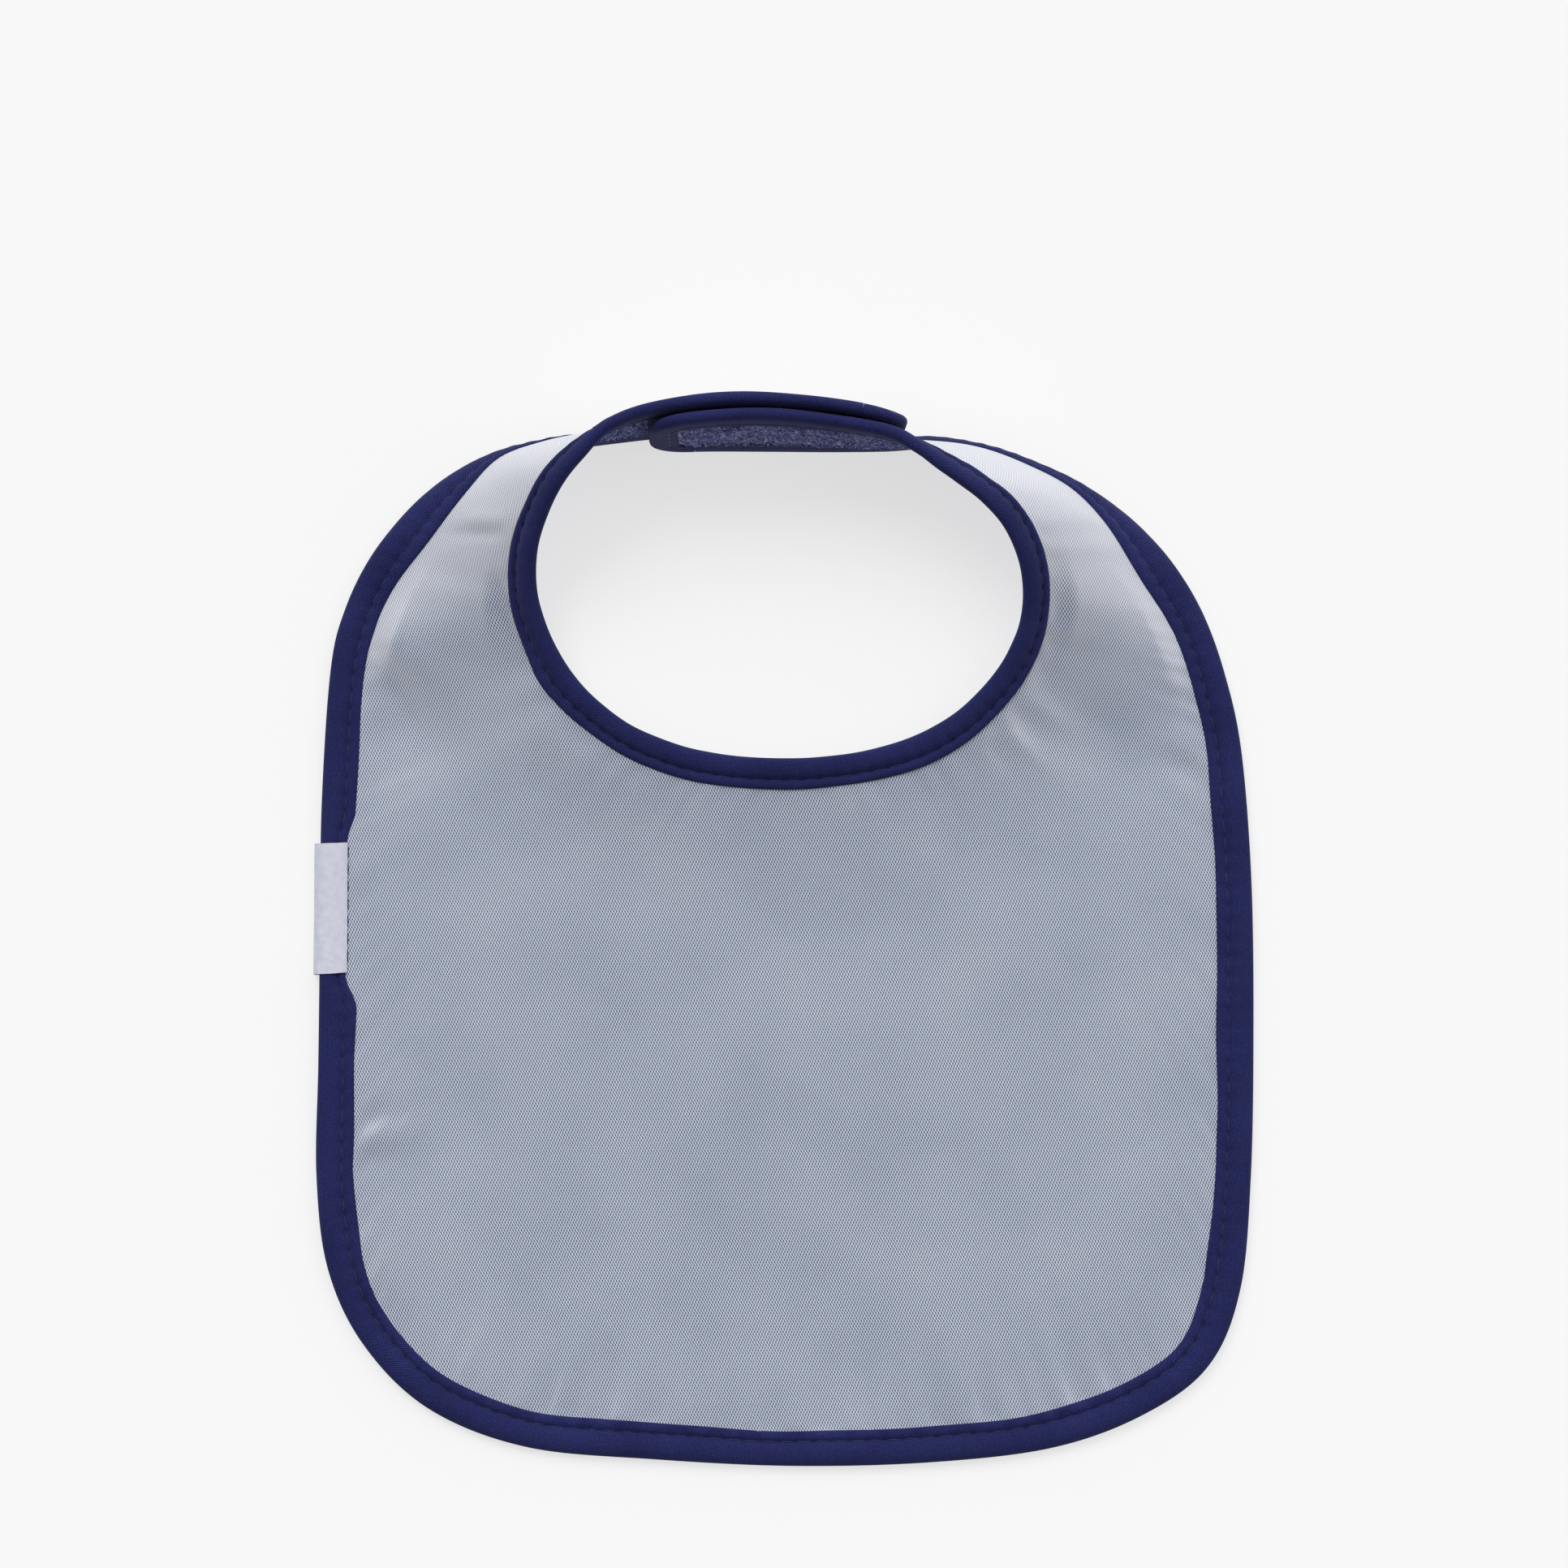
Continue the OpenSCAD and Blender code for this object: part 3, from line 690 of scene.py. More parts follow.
def satin():
    f = Finish("white_satin", roughness=0.38, specular=0.5, sheen=0.2)
    x, y = f.flat_mm()
    twill = f.cosine(f.math("MULTIPLY_ADD", y, 1.5, x), 0.42)
    yarn = f.cosine(x, 0.24)
    level = f.math("MULTIPLY_ADD", twill, 0.28, f.math("MULTIPLY_ADD", yarn, 0.2, 0.5))
    colour = f.ramp(level, (0.0, 176, 177, 192), (0.6, 209, 210, 222), (1.0, 236, 237, 247))
    colour = f.mottle(colour, f.place_mm(), 0.5, 2.0, (240, 240, 246))
    return f.finish(colour, f.bump(level, 0.00005, 0.6))


def loop_tape():
    f = Finish("loop_pile_tape", roughness=0.9, specular=0.15, sheen=0.4)
    fuzz = f.noise(f.object_place(), 1500.0, 3.0, 0.65)
    colour = f.ramp(fuzz, (0.3, 30, 32, 66), (0.5, 50, 53, 98), (0.72, 88, 92, 138))
    return f.finish(colour, f.bump(fuzz, 0.0004, 0.8))


def hook_tape():
    f = Finish("hook_strip", roughness=0.35, specular=0.5)
    shade = f.noise(f.object_place(), 700.0, 2.0)
    colour = f.ramp(shade, (0.3, 150, 160, 182), (0.7, 222, 227, 238))
    return f.finish(colour, f.bump(shade, 0.0002, 0.4))


FINISH = {
    "coated_cloth": coated_cloth(),
    "binding": bias_weave(),
    "terry": terry_pile(),
    "thread": sewing_thread(),
    "satin": satin(),
    "loop_tape": loop_tape(),
    "hook_tape": hook_tape(),
}

# %% [markdown]
# ## How pieces follow the straps
# What is on the panel rides the panel. A strap's cloth runs on from the panel and meets its panel
# piece at one line across the cloth; it is left where it lies and rides no body. A strap's patches
# ride the strap.

# %% Riding, staying in place and standing in for the imported solids
SPLIT = {"outer": 6.3, "inner": 39.6}


def settle(piece, strap, slot, *nodes, bends=True):
    if strap and bends:
        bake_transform(piece)
    else:
        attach(piece, strap + "_strap" if strap else "bib_body")
    if nodes:
        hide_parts(*nodes)


# %% [markdown]
# ## The two cloths
# The backing is a thin slab over the surface and the terry a thicker one under it, pressed thin
# under the binding. At a strap's rounded end the rows draw in, so the cloth stays inside the
# binding.

# %% Sheets
INSET = 1.3
ROW, STRAP_ROW = 1 / 12, 0.05
CROWDED = 0.55
# Millimetres from a strap's end to the rows of its rounded corners
END_ROWS = np.array([1.3, 1.45, 1.7, 2.1, 2.7, 3.4, 4.3, 5.3, 6.4, 7.6, 8.8, 10])


def strap_rows(strap):
    """Stations of a strap's rows, close together at its rounded end."""
    near = tip_t(strap, END_ROWS)
    if strap == "outer":
        rest = np.arange(near[-1], SPLIT["outer"], STRAP_ROW)[1:]
        return np.concatenate([near, rest, [SPLIT["outer"]]])
    rest = np.arange(SPLIT["inner"], near[-1], STRAP_ROW)
    return np.concatenate([rest, near[::-1]])


def panel_rows():
    count = int((SPLIT["inner"] - SPLIT["outer"]) / ROW)
    return np.linspace(SPLIT["outer"], SPLIT["inner"], count)


def grid(ts, columns, strap=""):
    """Stations and shares of a grid of points, closer together near the edges.

    It reaches to the inset under the binding.
    """
    shares = np.linspace(0, 1, columns)
    shares = 0.5 - np.cos(shares * math.pi) / 2 * CROWDED + (shares - 0.5) * (1 - CROWDED)
    neck = INSET / square_part(ts, 0 * ts)
    outer = 1 - INSET / square_part(ts, 0 * ts + 1)
    v = neck[:, None] + (outer - neck)[:, None] * shares[None, :]
    if strap:
        short = np.maximum(0, TIP_RADIUS - tip_distance(strap, ts))
        radius = TIP_RADIUS - INSET
        width = CORNER + np.sqrt(np.maximum(0, radius**2 - short**2))
        draw = np.where(short > 0, width / (STRAP_WIDTH / 2 - INSET), 1)
        v = 0.5 + (v - 0.5) * draw[:, None]
    return np.repeat(ts[:, None], columns, axis=1), v


BACKING = 0.3
PRESSED = 0.95
SEAT = 0.07
THINNEST = 0.2
PILE_FROM, PILE_OVER = 9.3, 1.5
TUFT = 0.1


def backing_cloth(name, ts, columns, strap, node):
    t, v = grid(ts, columns, strap)
    s = edge_distance(t, v, strap)
    rise = swell(t, v, s)
    piece = slab(name, t, v, BACKING + rise, rise, "coated_cloth")
    settle(piece, strap, "coated_cloth", node)


def terry_cloth(name, ts, columns, strap, node):
    t, v = grid(ts, columns, strap)
    s = edge_distance(t, v, strap)
    rise = swell(t, v, s)
    full = ease((s - PILE_FROM) / PILE_OVER)
    low = -PRESSED - (TERRY - PRESSED) * full
    tuft = np.random.default_rng(7).normal(0, TUFT, t.shape) * full
    low = np.maximum(low + np.maximum(rise, 0) * 0.7 + np.abs(tuft), -TERRY)
    low = np.minimum(low, rise - SEAT - THINNEST)
    piece = slab(name, t, v, rise - SEAT, low, "terry")
    settle(piece, strap, "terry", node)


backing_cloth("panel_backing", panel_rows(), 88, "", "waterproof_backing")
terry_cloth("panel_terry", panel_rows(), 110, "", "terry_front")
for strap in ("outer", "inner"):
    body, rows = f"{strap}_strap", strap_rows(strap)
    backing_cloth(f"{body}_coated", rows, 40, strap, f"{body}_backing")
    terry_cloth(f"{body}_pile_cloth", rows, 60, strap, f"{body}_terry")

# %% [markdown]
# ## Paths round the edges
# The outer tape runs round the outer edge, turns the outer strap's end and stops a little way up
# its neck edge. The neck tape runs round the neck, turns the inner strap's end and stops on its
# outer edge. A path is a row of rings less than a millimetre apart.

# %% Edge paths
RING = 0.72
JOIN = 12
JOIN_GAP = 0.05
SAME_RING = 0.04
CORNER_TURN, END_RINGS = 4.5, 22


def straight(t0, t1, v):
    """Rings along one edge of the cloth, evenly spaced, as [t, v, 0, 0, 0]."""
    fine = np.linspace(t0, t1, 4000)
    run = arc_length(cloth(fine, 0 * fine + v))
    count = max(3, round(run[-1] / RING))
    ts = np.interp(np.linspace(0, run[-1], count + 1), run, fine)
    return [[t, v, 0, 0, 0] for t in ts]


def rounded(strap, side):
    """Rings round a strap's end, from the edge on that side (-1 is the neck edge) to the other."""
    which = 1 if strap == "outer" else 2
    turn = np.radians(np.arange(0, 90.1, CORNER_TURN))
    first = [[TIP_RADIUS, side * CORNER, -math.sin(a), side * math.cos(a), which] for a in turn]
    middle = [[TIP_RADIUS, e, -1, 0, which]
              for e in np.linspace(side * CORNER, -side * CORNER, END_RINGS)[1:-1]]
    last = [[p, -q, dp, -dq, which] for p, q, dp, dq, which in first[::-1]]
    return first + middle + last


def place(path, s):
    """Stations and shares of the points s mm in from the fold, one row for each ring."""
    p, q, dp, dq, tip = (column[:, None] for column in np.array(path, float).T)
    p, q = np.broadcast_to(p, s.shape), np.broadcast_to(q, s.shape)
    edge_t, edge_v = inwards(np.where(tip > 0, 10, p), np.where(tip > 0, 0, q), s)
    d = p + (TIP_RADIUS - s) * dp
    e = q + (TIP_RADIUS - s) * dq
    end_t = np.where(tip == 1, tip_t("outer", d), tip_t("inner", d))
    return np.where(tip > 0, end_t, edge_t), np.where(tip > 0, 0.5 + e / STRAP_WIDTH, edge_v)


def path_length(path, inset):
    """Distance of each ring along the path, measured inset mm in from the fold."""
    t, v = place(path, np.full((len(path), 1), float(inset)))
    return arc_length(cloth(t[:, 0], v[:, 0]))


def joined(*parts):
    """Paths end to end, without a ring that only repeats the one before."""
    rings = [ring for part in parts for ring in part]
    t, v = place(rings, np.zeros((len(rings), 1)))
    points = cloth(t[:, 0], v[:, 0])
    keep = [0]
    for i in range(1, len(rings)):
        if length(points[i] - points[keep[-1]]) > SAME_RING:
            keep.append(i)
    return [rings[i] for i in keep]


END_OUTER, END_INNER = tip_t("outer", TIP_RADIUS), tip_t("inner", TIP_RADIUS)
PATHS = {
    "panel_outer": straight(SPLIT["inner"], SPLIT["outer"], 1),
    "panel_neck": straight(SPLIT["outer"], SPLIT["inner"], 0),
    "outer_outer": joined(straight(SPLIT["outer"], END_OUTER, 1), rounded("outer", 1),
                          straight(END_OUTER, tip_t("outer", JOIN - JOIN_GAP), 0)),
    "outer_neck": straight(tip_t("outer", JOIN + JOIN_GAP), SPLIT["outer"], 0),
    "inner_neck": joined(straight(SPLIT["inner"], END_INNER, 0), rounded("inner", -1),
                         straight(END_INNER, tip_t("inner", JOIN - JOIN_GAP), 1)),
    "inner_outer": straight(tip_t("inner", JOIN + JOIN_GAP), SPLIT["inner"], 1),
}
for name, path in PATHS.items():
    print(name, "path:", len(path), "rings,", round(path_length(path, 0)[-1]), "mm")

# %% [markdown]
# ## Bias binding
# Folded tape is fat at the fold, dips along the stitches and stands up again as a soft lip. Its
# profile goes from the lower hem, round the fold, to the upper hem, and back along the inside. The
# stitches pinch it every 4.65 mm, the hem wanders a little, and beside the label it is drawn in.

# %% Profile of the binding
STITCH = 4.65
VALLEY = 6.5
# [distance in from the fold, height above the cloth's surface]
TAPE_SKIN = np.array([
    [9.35, -1.2], [9.1, -1.45], [8.4, -1.57], [7.6, -1.58], [6.9, -1.48], [6.5, -1.36], [6.1, -1.5],
    [5.2, -1.59], [3.2, -1.6], [1.7, -1.5], [0.8, -1.22], [0.25, -0.75], [0.0, -0.05], [0.08, 0.6],
    [0.42, 1.15], [1.05, 1.58], [2.1, 1.84], [3.3, 1.9], [4.4, 1.76], [5.2, 1.48], [5.8, 1.12],
    [6.2, 0.78], [6.5, 0.6], [6.8, 0.78], [7.2, 1.02], [7.8, 1.18], [8.5, 1.08], [9.0, 0.84],
    [9.3, 0.55], [9.35, 0.4],
])
TAPE_INSIDE = np.array([
    [9.2, 0.36], [7.2, 0.36], [5, 0.36], [3, 0.36], [1.2, 0.3], [0.6, -0.3],
    [1.2, -1.0], [3, -1.0], [5, -1.0], [7.2, -1.0], [9.2, -1.0],
])
TAPE = np.vstack([TAPE_SKIN, TAPE_INSIDE])
TAPE_AROUND = arc_length(TAPE)
# The label's first and last station, and how far apart stations are beside it
LABEL = (14.3, 15.3)
STATION_MM = 36
PINCH_ABOVE, PINCH_BELOW = 0.22, 0.3
DRIFT, DRIFT_FROM = 0.24, 4
# The neck tape is a little narrower, as its curve takes up more of it
TAPE_WIDTH = {"outer": 1.0, "neck": 0.88}


def pinch_for_label(path):
    """Share of the tape's width that is left beside and under the label."""
    narrow = np.ones(len(path))
    for i, (t, v, dp, dq, tip) in enumerate(path):
        if tip or v != 1:
            continue
        above, below = (LABEL[0] - t) * STATION_MM, (t - LABEL[1]) * STATION_MM
        if above > 0:
            narrow[i] = 1 - PINCH_ABOVE * (1 - ease(above / 9))
        elif below > 0:
            narrow[i] = 1 - PINCH_BELOW * (1 - ease(below / 11))
        else:
            deeper = ease(-above / 8)
            narrow[i] = 1 - PINCH_ABOVE - (PINCH_BELOW - PINCH_ABOVE) * deeper
    return narrow


def wander(path, amount):
    """A slow, uneven drift along a path, in mm."""
    run = path_length(path, 0)
    phase = len(path) * 0.37
    waves = np.sin(run / 23 + phase) + 0.6 * np.sin(run / 9.7 + 2 * phase) + 0.4 * np.sin(run / 5.1)
    ends = ease(run / 12) * ease((run[-1] - run) / 12)
    return amount * waves * ends


def hem_drift(path, s):
    """How far the tape strays in or out at s mm from the fold: not at all near the fold."""
    return ease((s - DRIFT_FROM) / 4) * wander(path, DRIFT)[:, None]


def carried(profile, path):
    """The profile's distances in and its heights, once for every ring of a path."""
    return [np.repeat(profile[None, :, k], len(path), axis=0) for k in (0, 1)]


def folded(name, t, v, h, run, around, finish):
    """A profile carried along a fold, whose UV is mm along the path and round the profile."""
    uv = np.stack(np.broadcast_arrays(run[:, None], around[None, :]), axis=-1).reshape(-1, 2)
    points = raised(t, v, h).reshape(-1, 3)
    return make_mesh(name, points, tube_faces(*t.shape), uv, finish)


def tape_shape(path, width):
    """Distance in and height of every profile point at every ring."""
    run = path_length(path, VALLEY)
    s, h = carried(TAPE, path)
    beat = np.cos(2 * math.pi * run / STITCH)[:, None]
    hole = np.clip(beat, 0, 1) ** 3
    near = np.exp(-(((s - VALLEY) / 1.1) ** 2))
    upper = (h > 0.45).astype(float)
    puff = np.exp(-(((s - 4.6) / 1.3) ** 2)) + 0.7 * np.exp(-(((s - 7.9) / 0.8) ** 2))
    h = h - upper * near * (0.28 * hole - 0.1 * (1 - hole)) - upper * puff * 0.1 * beat
    h = h + upper * wander(path, 0.09)[:, None] * ease(s / 2)
    s = s + hem_drift(path, s)
    narrow = pinch_for_label(path)[:, None]
    s = s * np.where(s > 0.9, narrow * width, 1)
    under_label = (narrow < 0.8) & (h < -1.3)
    return s, np.where(under_label, -1.3, h)


def tape(name, key, strap, node):
    path = PATHS[key]
    s, h = tape_shape(path, TAPE_WIDTH[key.split("_")[1]])
    t, v = place(path, s)
    lift = swell(t, v, np.maximum(s, 0)) * (h > 0.3) * ease((s - VALLEY) / 2)
    run = path_length(path, 3)
    piece = folded(name, t, v, h + lift, run, TAPE_AROUND, "binding")
    settle(piece, strap, "binding", node)


# [piece, path, strap, packed binding, packed thread]
SEAMS = [(f"panel_{edge}", f"panel_{edge}", "", f"{edge}_binding", f"{edge}_binding_thread")
         for edge in ("outer", "neck")]
for strap in ("outer", "inner"):
    for edge in ("outer", "neck"):
        body = f"{strap}_strap_{edge}"
        SEAMS.append((body, f"{strap}_{edge}", strap, body + "_binding", body + "_thread"))
for body, key, strap, node, _ in SEAMS:
    tape(body + "_tape", key, strap, node)

# %% [markdown]
# ## Stitches
# A lockstitch shows as short dashes that dip into the cloth at both ends. One stitch is a small
# sphere, stretched and bent, and is copied along the valley of every binding, on both faces.

# %% One stitch
STITCH_LENGTH = 3.5
THREAD = 0.34
END_DIP = 0.3
THREAD_HEIGHTS = {1: 0.78, -1: -1.4}


def form_of(piece):
    """Points and faces of a small model, which is then removed."""
    mesh = piece.data
    points = np.array([v.co for v in mesh.vertices])
    faces = [list(p.vertices) for p in mesh.polygons]
    bpy.data.objects.remove(piece)
    bpy.data.meshes.remove(mesh)
    return points, faces


def stitch_form():
    """A dash along X, in mm, whose ends dip."""
    bpy.ops.mesh.primitive_uv_sphere_add(segments=8, ring_count=6, radius=0.5,
                                         rotation=(0, math.pi / 2, 0))
    bpy.ops.object.transform_apply(rotation=True)
    bpy.ops.object.mode_set(mode="EDIT")
    bpy.ops.mesh.select_all(action="SELECT")
    bpy.ops.transform.resize(value=(STITCH_LENGTH, THREAD, THREAD * 0.85))
    bpy.ops.object.mode_set(mode="OBJECT")
    points, faces = form_of(bpy.context.object)
    x = points[:, 0] / (STITCH_LENGTH / 2)
    points[:, 2] -= END_DIP * x**4
    points[:, 1] *= 1 + 0.25 * x**2
    return points, faces


STITCH_FORM = stitch_form()


def frames_at(t, v, turned=None):
    """Axes at points of the cloth, as rows: along, sideways and up."""
    up = normal(t, v)
    x = unit(along(t, v)) if turned is None else unit(turned)
    x = unit(x - up * dot(x, up)[..., None])
    return np.stack([x, np.cross(up, x), up], axis=-2)


def threads(name, placed, faces, strap, node, bends=True):
    piece = make_mesh(name, placed, faces, placed[:, :2], "thread")
    settle(piece, strap, "thread", node, bends=bends)


def copies(form, frames, origins):
    """The form once in every frame, as one set of points and faces."""
    points, faces = form
    placed = np.einsum("pk,nkj->npj", points, frames) + origins[:, None, :]
    shift = np.arange(len(origins)) * len(points)
    every = [[i + k for i in face] for k in shift.tolist() for face in faces]
    return placed.reshape(-1, 3), every


def stitches(name, key, strap, node):
    path = PATHS[key]
    run = path_length(path, VALLEY)
    at = np.arange(STITCH / 2, run[-1] - 1.5, STITCH)
    rings = np.interp(at, run, np.arange(len(path)))
    valley = VALLEY * TAPE_WIDTH[key.split("_")[1]]
    s = (valley + hem_drift(path, VALLEY)[:, 0]) * pinch_for_label(path)
    t, v = place(path, s[:, None])
    heading = np.gradient(cloth(t[:, 0], v[:, 0]), axis=0)
    t, v, *way = (np.interp(rings, np.arange(len(path)), column)
                  for column in np.hstack([t, v, heading]).T)
    way = np.stack(way, axis=-1)
    points, faces = [], []
    for face_up, height in THREAD_HEIGHTS.items():
        frames = frames_at(t, v, way)
        frames[:, 1:] *= face_up
        placed, every = copies(STITCH_FORM, frames, raised(t, v, height))
        faces += [[i + sum(map(len, points)) for i in face] for face in every]
        points.append(placed)
    threads(name, np.vstack(points), faces, strap, node)


for body, key, strap, _, node in SEAMS:
    stitches(body + "_stitches", key, strap, node)

# %% [markdown]
# ## Side label
# A blank strip of white satin is folded over the left edge, a little proud of the binding, and
# caught in its stitches.

# %% Label and its stitches
LABEL_SKIN = np.array([
    [7.3, -1.58], [5, -1.6], [2, -1.6], [0.2, -1.58], [-1, -1.35], [-1.5, -0.8], [-1.62, 0.1],
    [-1.4, 0.95], [-0.8, 1.6], [0.2, 2.0], [1.6, 2.2], [3.2, 2.2], [4.6, 2.05], [5.8, 1.75],
    [6.7, 1.32], [7.25, 0.8],
])
LABEL_CLOTH = 0.2
LABEL_SEAM = 7.35


def label():
    path = straight(LABEL[0], LABEL[1], 1)
    heading = np.gradient(LABEL_SKIN, axis=0)
    inward = np.stack([heading[:, 1], -heading[:, 0]], axis=1)
    inner = (LABEL_SKIN + unit(inward) * LABEL_CLOTH)[::-1]
    profile = np.vstack([LABEL_SKIN, inner])
    profile[:, 1] = np.maximum(profile[:, 1], -TERRY)
    run = path_length(path, 0)
    s, h = carried(profile, path)
    h = h + (h > 0.5) * 0.08 * np.sin(run / 5.3 + 1)[:, None]
    t, v = place(path, s)
    piece = folded("side_label_fold", t, v, h, run, arc_length(profile), "satin")
    settle(piece, "", "satin", "side_label")


def label_stitches():
    path = straight(LABEL[0], LABEL[1], 1)
    run = path_length(path, 7.4)
    at = np.arange(STITCH / 2, run[-1], STITCH)
    ts = np.interp(at, run, [ring[0] for ring in path])
    t, v = inwards(ts, 0 * ts + 1, LABEL_SEAM)
    placed, faces = copies(STITCH_FORM, frames_at(t, v), raised(t, v, 0.45))
    threads("side_label_stitches", placed, faces, "", "label_thread")


label()
label_stitches()

# %% [markdown]
# ## Hook and loop patches
# The outer strap carries the loop patch on its terry face, and the inner strap the hook patch on
# its coated face, so the two meet when the neck loop is closed. Each is a thin woven tape with its
# pile.

# %% Patches
PATCH_MIDDLE = -2.5
PATCH_LENGTH = 44
PATCH_WIDTH = 18
PATCH_SEAM = 2
PATCH_STITCH = 2.9
LOOP_TAPE, HOOK_TAPE = (-TERRY - 0.75, -TERRY - 0.1), (BACKING + 0.05, BACKING + 0.7)


def patch_place(strap, x, e):
    """Station and share at x along the strap and e mm off its middle line."""
    d = STATIONS[0, 0] - x if strap == "outer" else x - STATIONS[-1, 0]
    return tip_t(strap, d), 0.5 + e / STRAP_WIDTH


def patch_tape(name, strap, low, top, slot, node):
    half_x, half_e = PATCH_LENGTH / 2, PATCH_WIDTH / 2
    x = np.linspace(PATCH_MIDDLE - half_x, PATCH_MIDDLE + half_x, 60)[::-1]
    x, e = np.meshgrid(x, np.linspace(-half_e, half_e, 26), indexing="ij")
    t, v = patch_place(strap, x, e)
    rim = np.minimum(half_x - np.abs(x - PATCH_MIDDLE), half_e - np.abs(e))
    pressed = np.exp(-(((rim - PATCH_SEAM) / 0.5) ** 2)) * 0.12
    high, under = (top, low + pressed) if strap == "outer" else (top - pressed, low)
    piece = slab(name, t, v, high, under, slot)
    settle(piece, strap, slot, node, bends=False)


def pile_form(radius, thick, segments, sides):
    """Half a ring standing on the cloth, closed at its feet."""
    bpy.ops.mesh.primitive_torus_add(
        major_segments=segments, minor_segments=sides, major_radius=radius, minor_radius=thick,
        rotation=(math.pi / 2, 0, 0))
    bpy.ops.object.transform_apply(rotation=True)
    bpy.ops.object.mode_set(mode="EDIT")
    bpy.ops.mesh.select_all(action="SELECT")
    bpy.ops.mesh.bisect(
        plane_co=(0, 0, -thick), plane_no=(0, 0, 1), clear_inner=True, use_fill=True)
    bpy.ops.object.mode_set(mode="OBJECT")
    return form_of(bpy.context.object)


def pile(name, strap, t, v, height, facing, form, seed, slot, lean, bends):
    """Copies of a small loop over the cloth, each turned and leaned its own way."""
    rng = np.random.default_rng(seed)
    turn = rng.uniform(0, 2 * math.pi, len(t))
    base = frames_at(t, v)
    way = base[:, 0] * np.cos(turn)[:, None] + base[:, 1] * np.sin(turn)[:, None]
    up = base[:, 2] * facing
    tip = unit(up + lean * np.cross(up, way) * rng.uniform(-1, 1, (len(t), 1)))
    frames = np.stack([way, np.cross(tip, way), tip], axis=1)
    frames *= rng.uniform(0.75, 1.25, (len(t), 1, 1))
    placed, faces = copies(form, frames, raised(t, v, height))
    piece = make_mesh(name, placed, faces, placed[:, :2], slot)
    settle(piece, strap, slot, bends=bends)


def scattered(strap, spacing, seed, margin):
    """Uneven rows of places over a patch."""
    rng = np.random.default_rng(seed)
    half_x, half_e = PATCH_LENGTH / 2 - margin, PATCH_WIDTH / 2 - margin
    x, e = np.meshgrid(np.arange(-half_x, half_x, spacing), np.arange(-half_e, half_e, spacing))
    x = x.ravel() + rng.uniform(-0.3, 0.3, x.size) * spacing
    e = e.ravel() + rng.uniform(-0.3, 0.3, e.size) * spacing
    return patch_place(strap, PATCH_MIDDLE + x, e)


patch_tape("loop_patch_tape", "outer", *LOOP_TAPE, "loop_tape", "loop_patch")
patch_tape("hook_patch_tape", "inner", *HOOK_TAPE, "hook_tape", "hook_patch")
pile("loop_patch_pile", "outer", *scattered("outer", 0.85, 3, 0.6), LOOP_TAPE[0], -1,
     pile_form(0.32, 0.08, 8, 4), 4, "loop_tape", 0.8, False)
pile("hook_patch_hooks", "inner", *scattered("inner", 1.1, 5, 1.0), HOOK_TAPE[1], 1,
     pile_form(0.3, 0.07, 8, 4), 6, "hook_tape", 0.5, False)


# %% Patch stitching, on the other face of each strap
def patch_stitches(name, strap, height, node):
    half_x, half_e = PATCH_LENGTH / 2 - PATCH_SEAM, PATCH_WIDTH / 2 - PATCH_SEAM
    rows = np.arange(-half_x + PATCH_STITCH / 2, half_x, PATCH_STITCH)
    ends = np.arange(-half_e + PATCH_STITCH / 2, half_e, PATCH_STITCH)
    x = np.concatenate([rows, rows, 0 * ends - half_x, 0 * ends + half_x])
    e = np.concatenate([0 * rows - half_e, 0 * rows + half_e, ends, ends])
    t, v = patch_place(strap, PATCH_MIDDLE + x, e)
    way = along(t, v)
    on_ends = slice(2 * len(rows), None)
    way[on_ends] = across(t[on_ends], v[on_ends])
    points, faces = STITCH_FORM
    form = (points * [0.66, 0.9, 0.9], faces)
    frames = frames_at(t, v, way)
    if height < 0:
        frames[:, 1:] *= -1
    placed, every = copies(form, frames, raised(t, v, height))
    threads(name, placed, every, strap, node, bends=False)


patch_stitches("loop_patch_stitches", "outer", BACKING + 0.08, "loop_patch_thread")
patch_stitches("hook_patch_stitches", "inner", -TERRY - 0.08, "hook_patch_thread")

# %% [markdown]
# ## Terry loops that show
# Inside the neck loop the pile is seen from close by, so little loops stand on both straps and the
# shoulders beside them, except where the loop patch is sewn on.

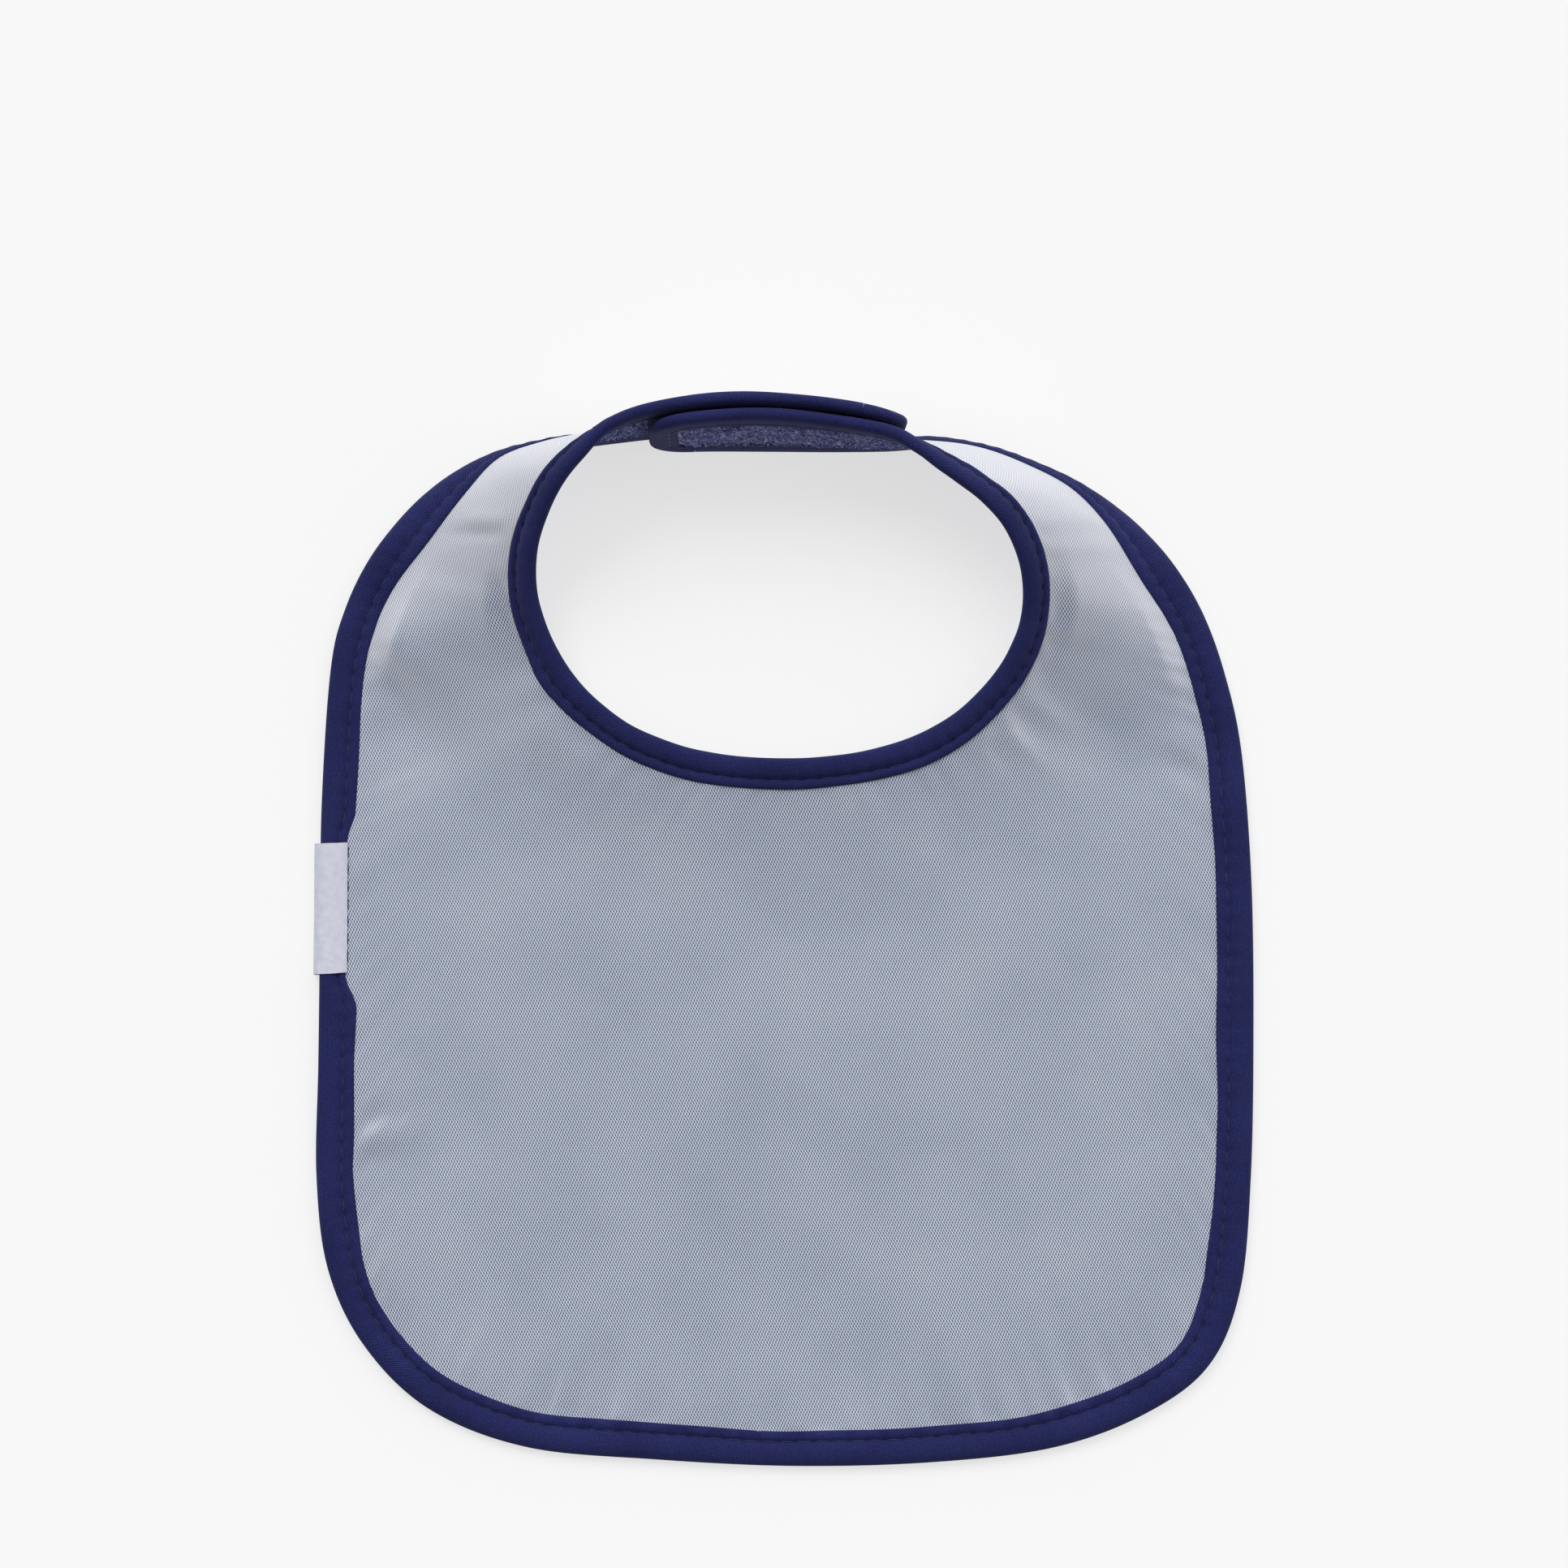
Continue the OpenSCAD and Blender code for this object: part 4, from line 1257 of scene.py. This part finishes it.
# %% Loops over the straps and shoulders
LOOP_GAP = 1.15
LOOPS_FROM = 9.2
LOOP_FOOT = -TERRY + 0.25


def loop_places(t0, t1, strap, seed):
    rng = np.random.default_rng(seed)
    ts, vs = [], []
    t = t0
    while t < t1:
        step = LOOP_GAP / float(length(along(t, 0.5)))
        width = float(square_part(t, 0.5))
        row = np.arange(0, 1, LOOP_GAP / width)
        ts += list(t + rng.uniform(-0.4, 0.4, len(row)) * step)
        vs += list(row + rng.uniform(-0.4, 0.4, len(row)) * LOOP_GAP / width)
        t += step
    t = np.clip(ts, max(t0, 0.02), min(t1, LAST - 0.02))
    v = np.clip(vs, 0.01, 0.99)
    keep = edge_distance(t, v, strap) > LOOPS_FROM
    if strap == "outer":
        x = STATIONS[0, 0] - tip_distance("outer", t)
        e = np.abs(v - 0.5) * STRAP_WIDTH
        keep &= (np.abs(x - PATCH_MIDDLE) >= PATCH_LENGTH / 2) | (e >= PATCH_WIDTH / 2)
    return t[keep], v[keep]


TERRY_LOOP = pile_form(0.62, 0.17, 8, 4)
for name, t0, t1, strap, seed in (
    ("outer_strap_loops", 0, SPLIT["outer"], "outer", 11),
    ("inner_strap_loops", SPLIT["inner"], LAST, "inner", 12),
    ("left_shoulder_loops", SPLIT["outer"], 10.5, "", 13),
    ("right_shoulder_loops", 35.5, SPLIT["inner"], "", 14),
):
    t, v = loop_places(t0, t1, strap, seed)
    pile(name, strap, t, v, LOOP_FOOT, -1, TERRY_LOOP, seed, "terry", 1.1, True)

# %% [markdown]
# ## The flat cut of each sheet
# Each cloth's part of the flat cut is sampled on a grid, and nothing is kept from it.


def declare_sheet(t0, t1):
    t, v = np.meshgrid(np.linspace(t0, t1, 300), np.linspace(0, 1, 60), indexing="ij")
    p = flat_place(t, v)


declare_sheet(SPLIT["outer"], SPLIT["inner"])
declare_sheet(SPLIT["outer"], SPLIT["inner"])
for kind in ("coated", "pile_cloth"):
    declare_sheet(0, SPLIT["outer"])
    declare_sheet(SPLIT["inner"], LAST)
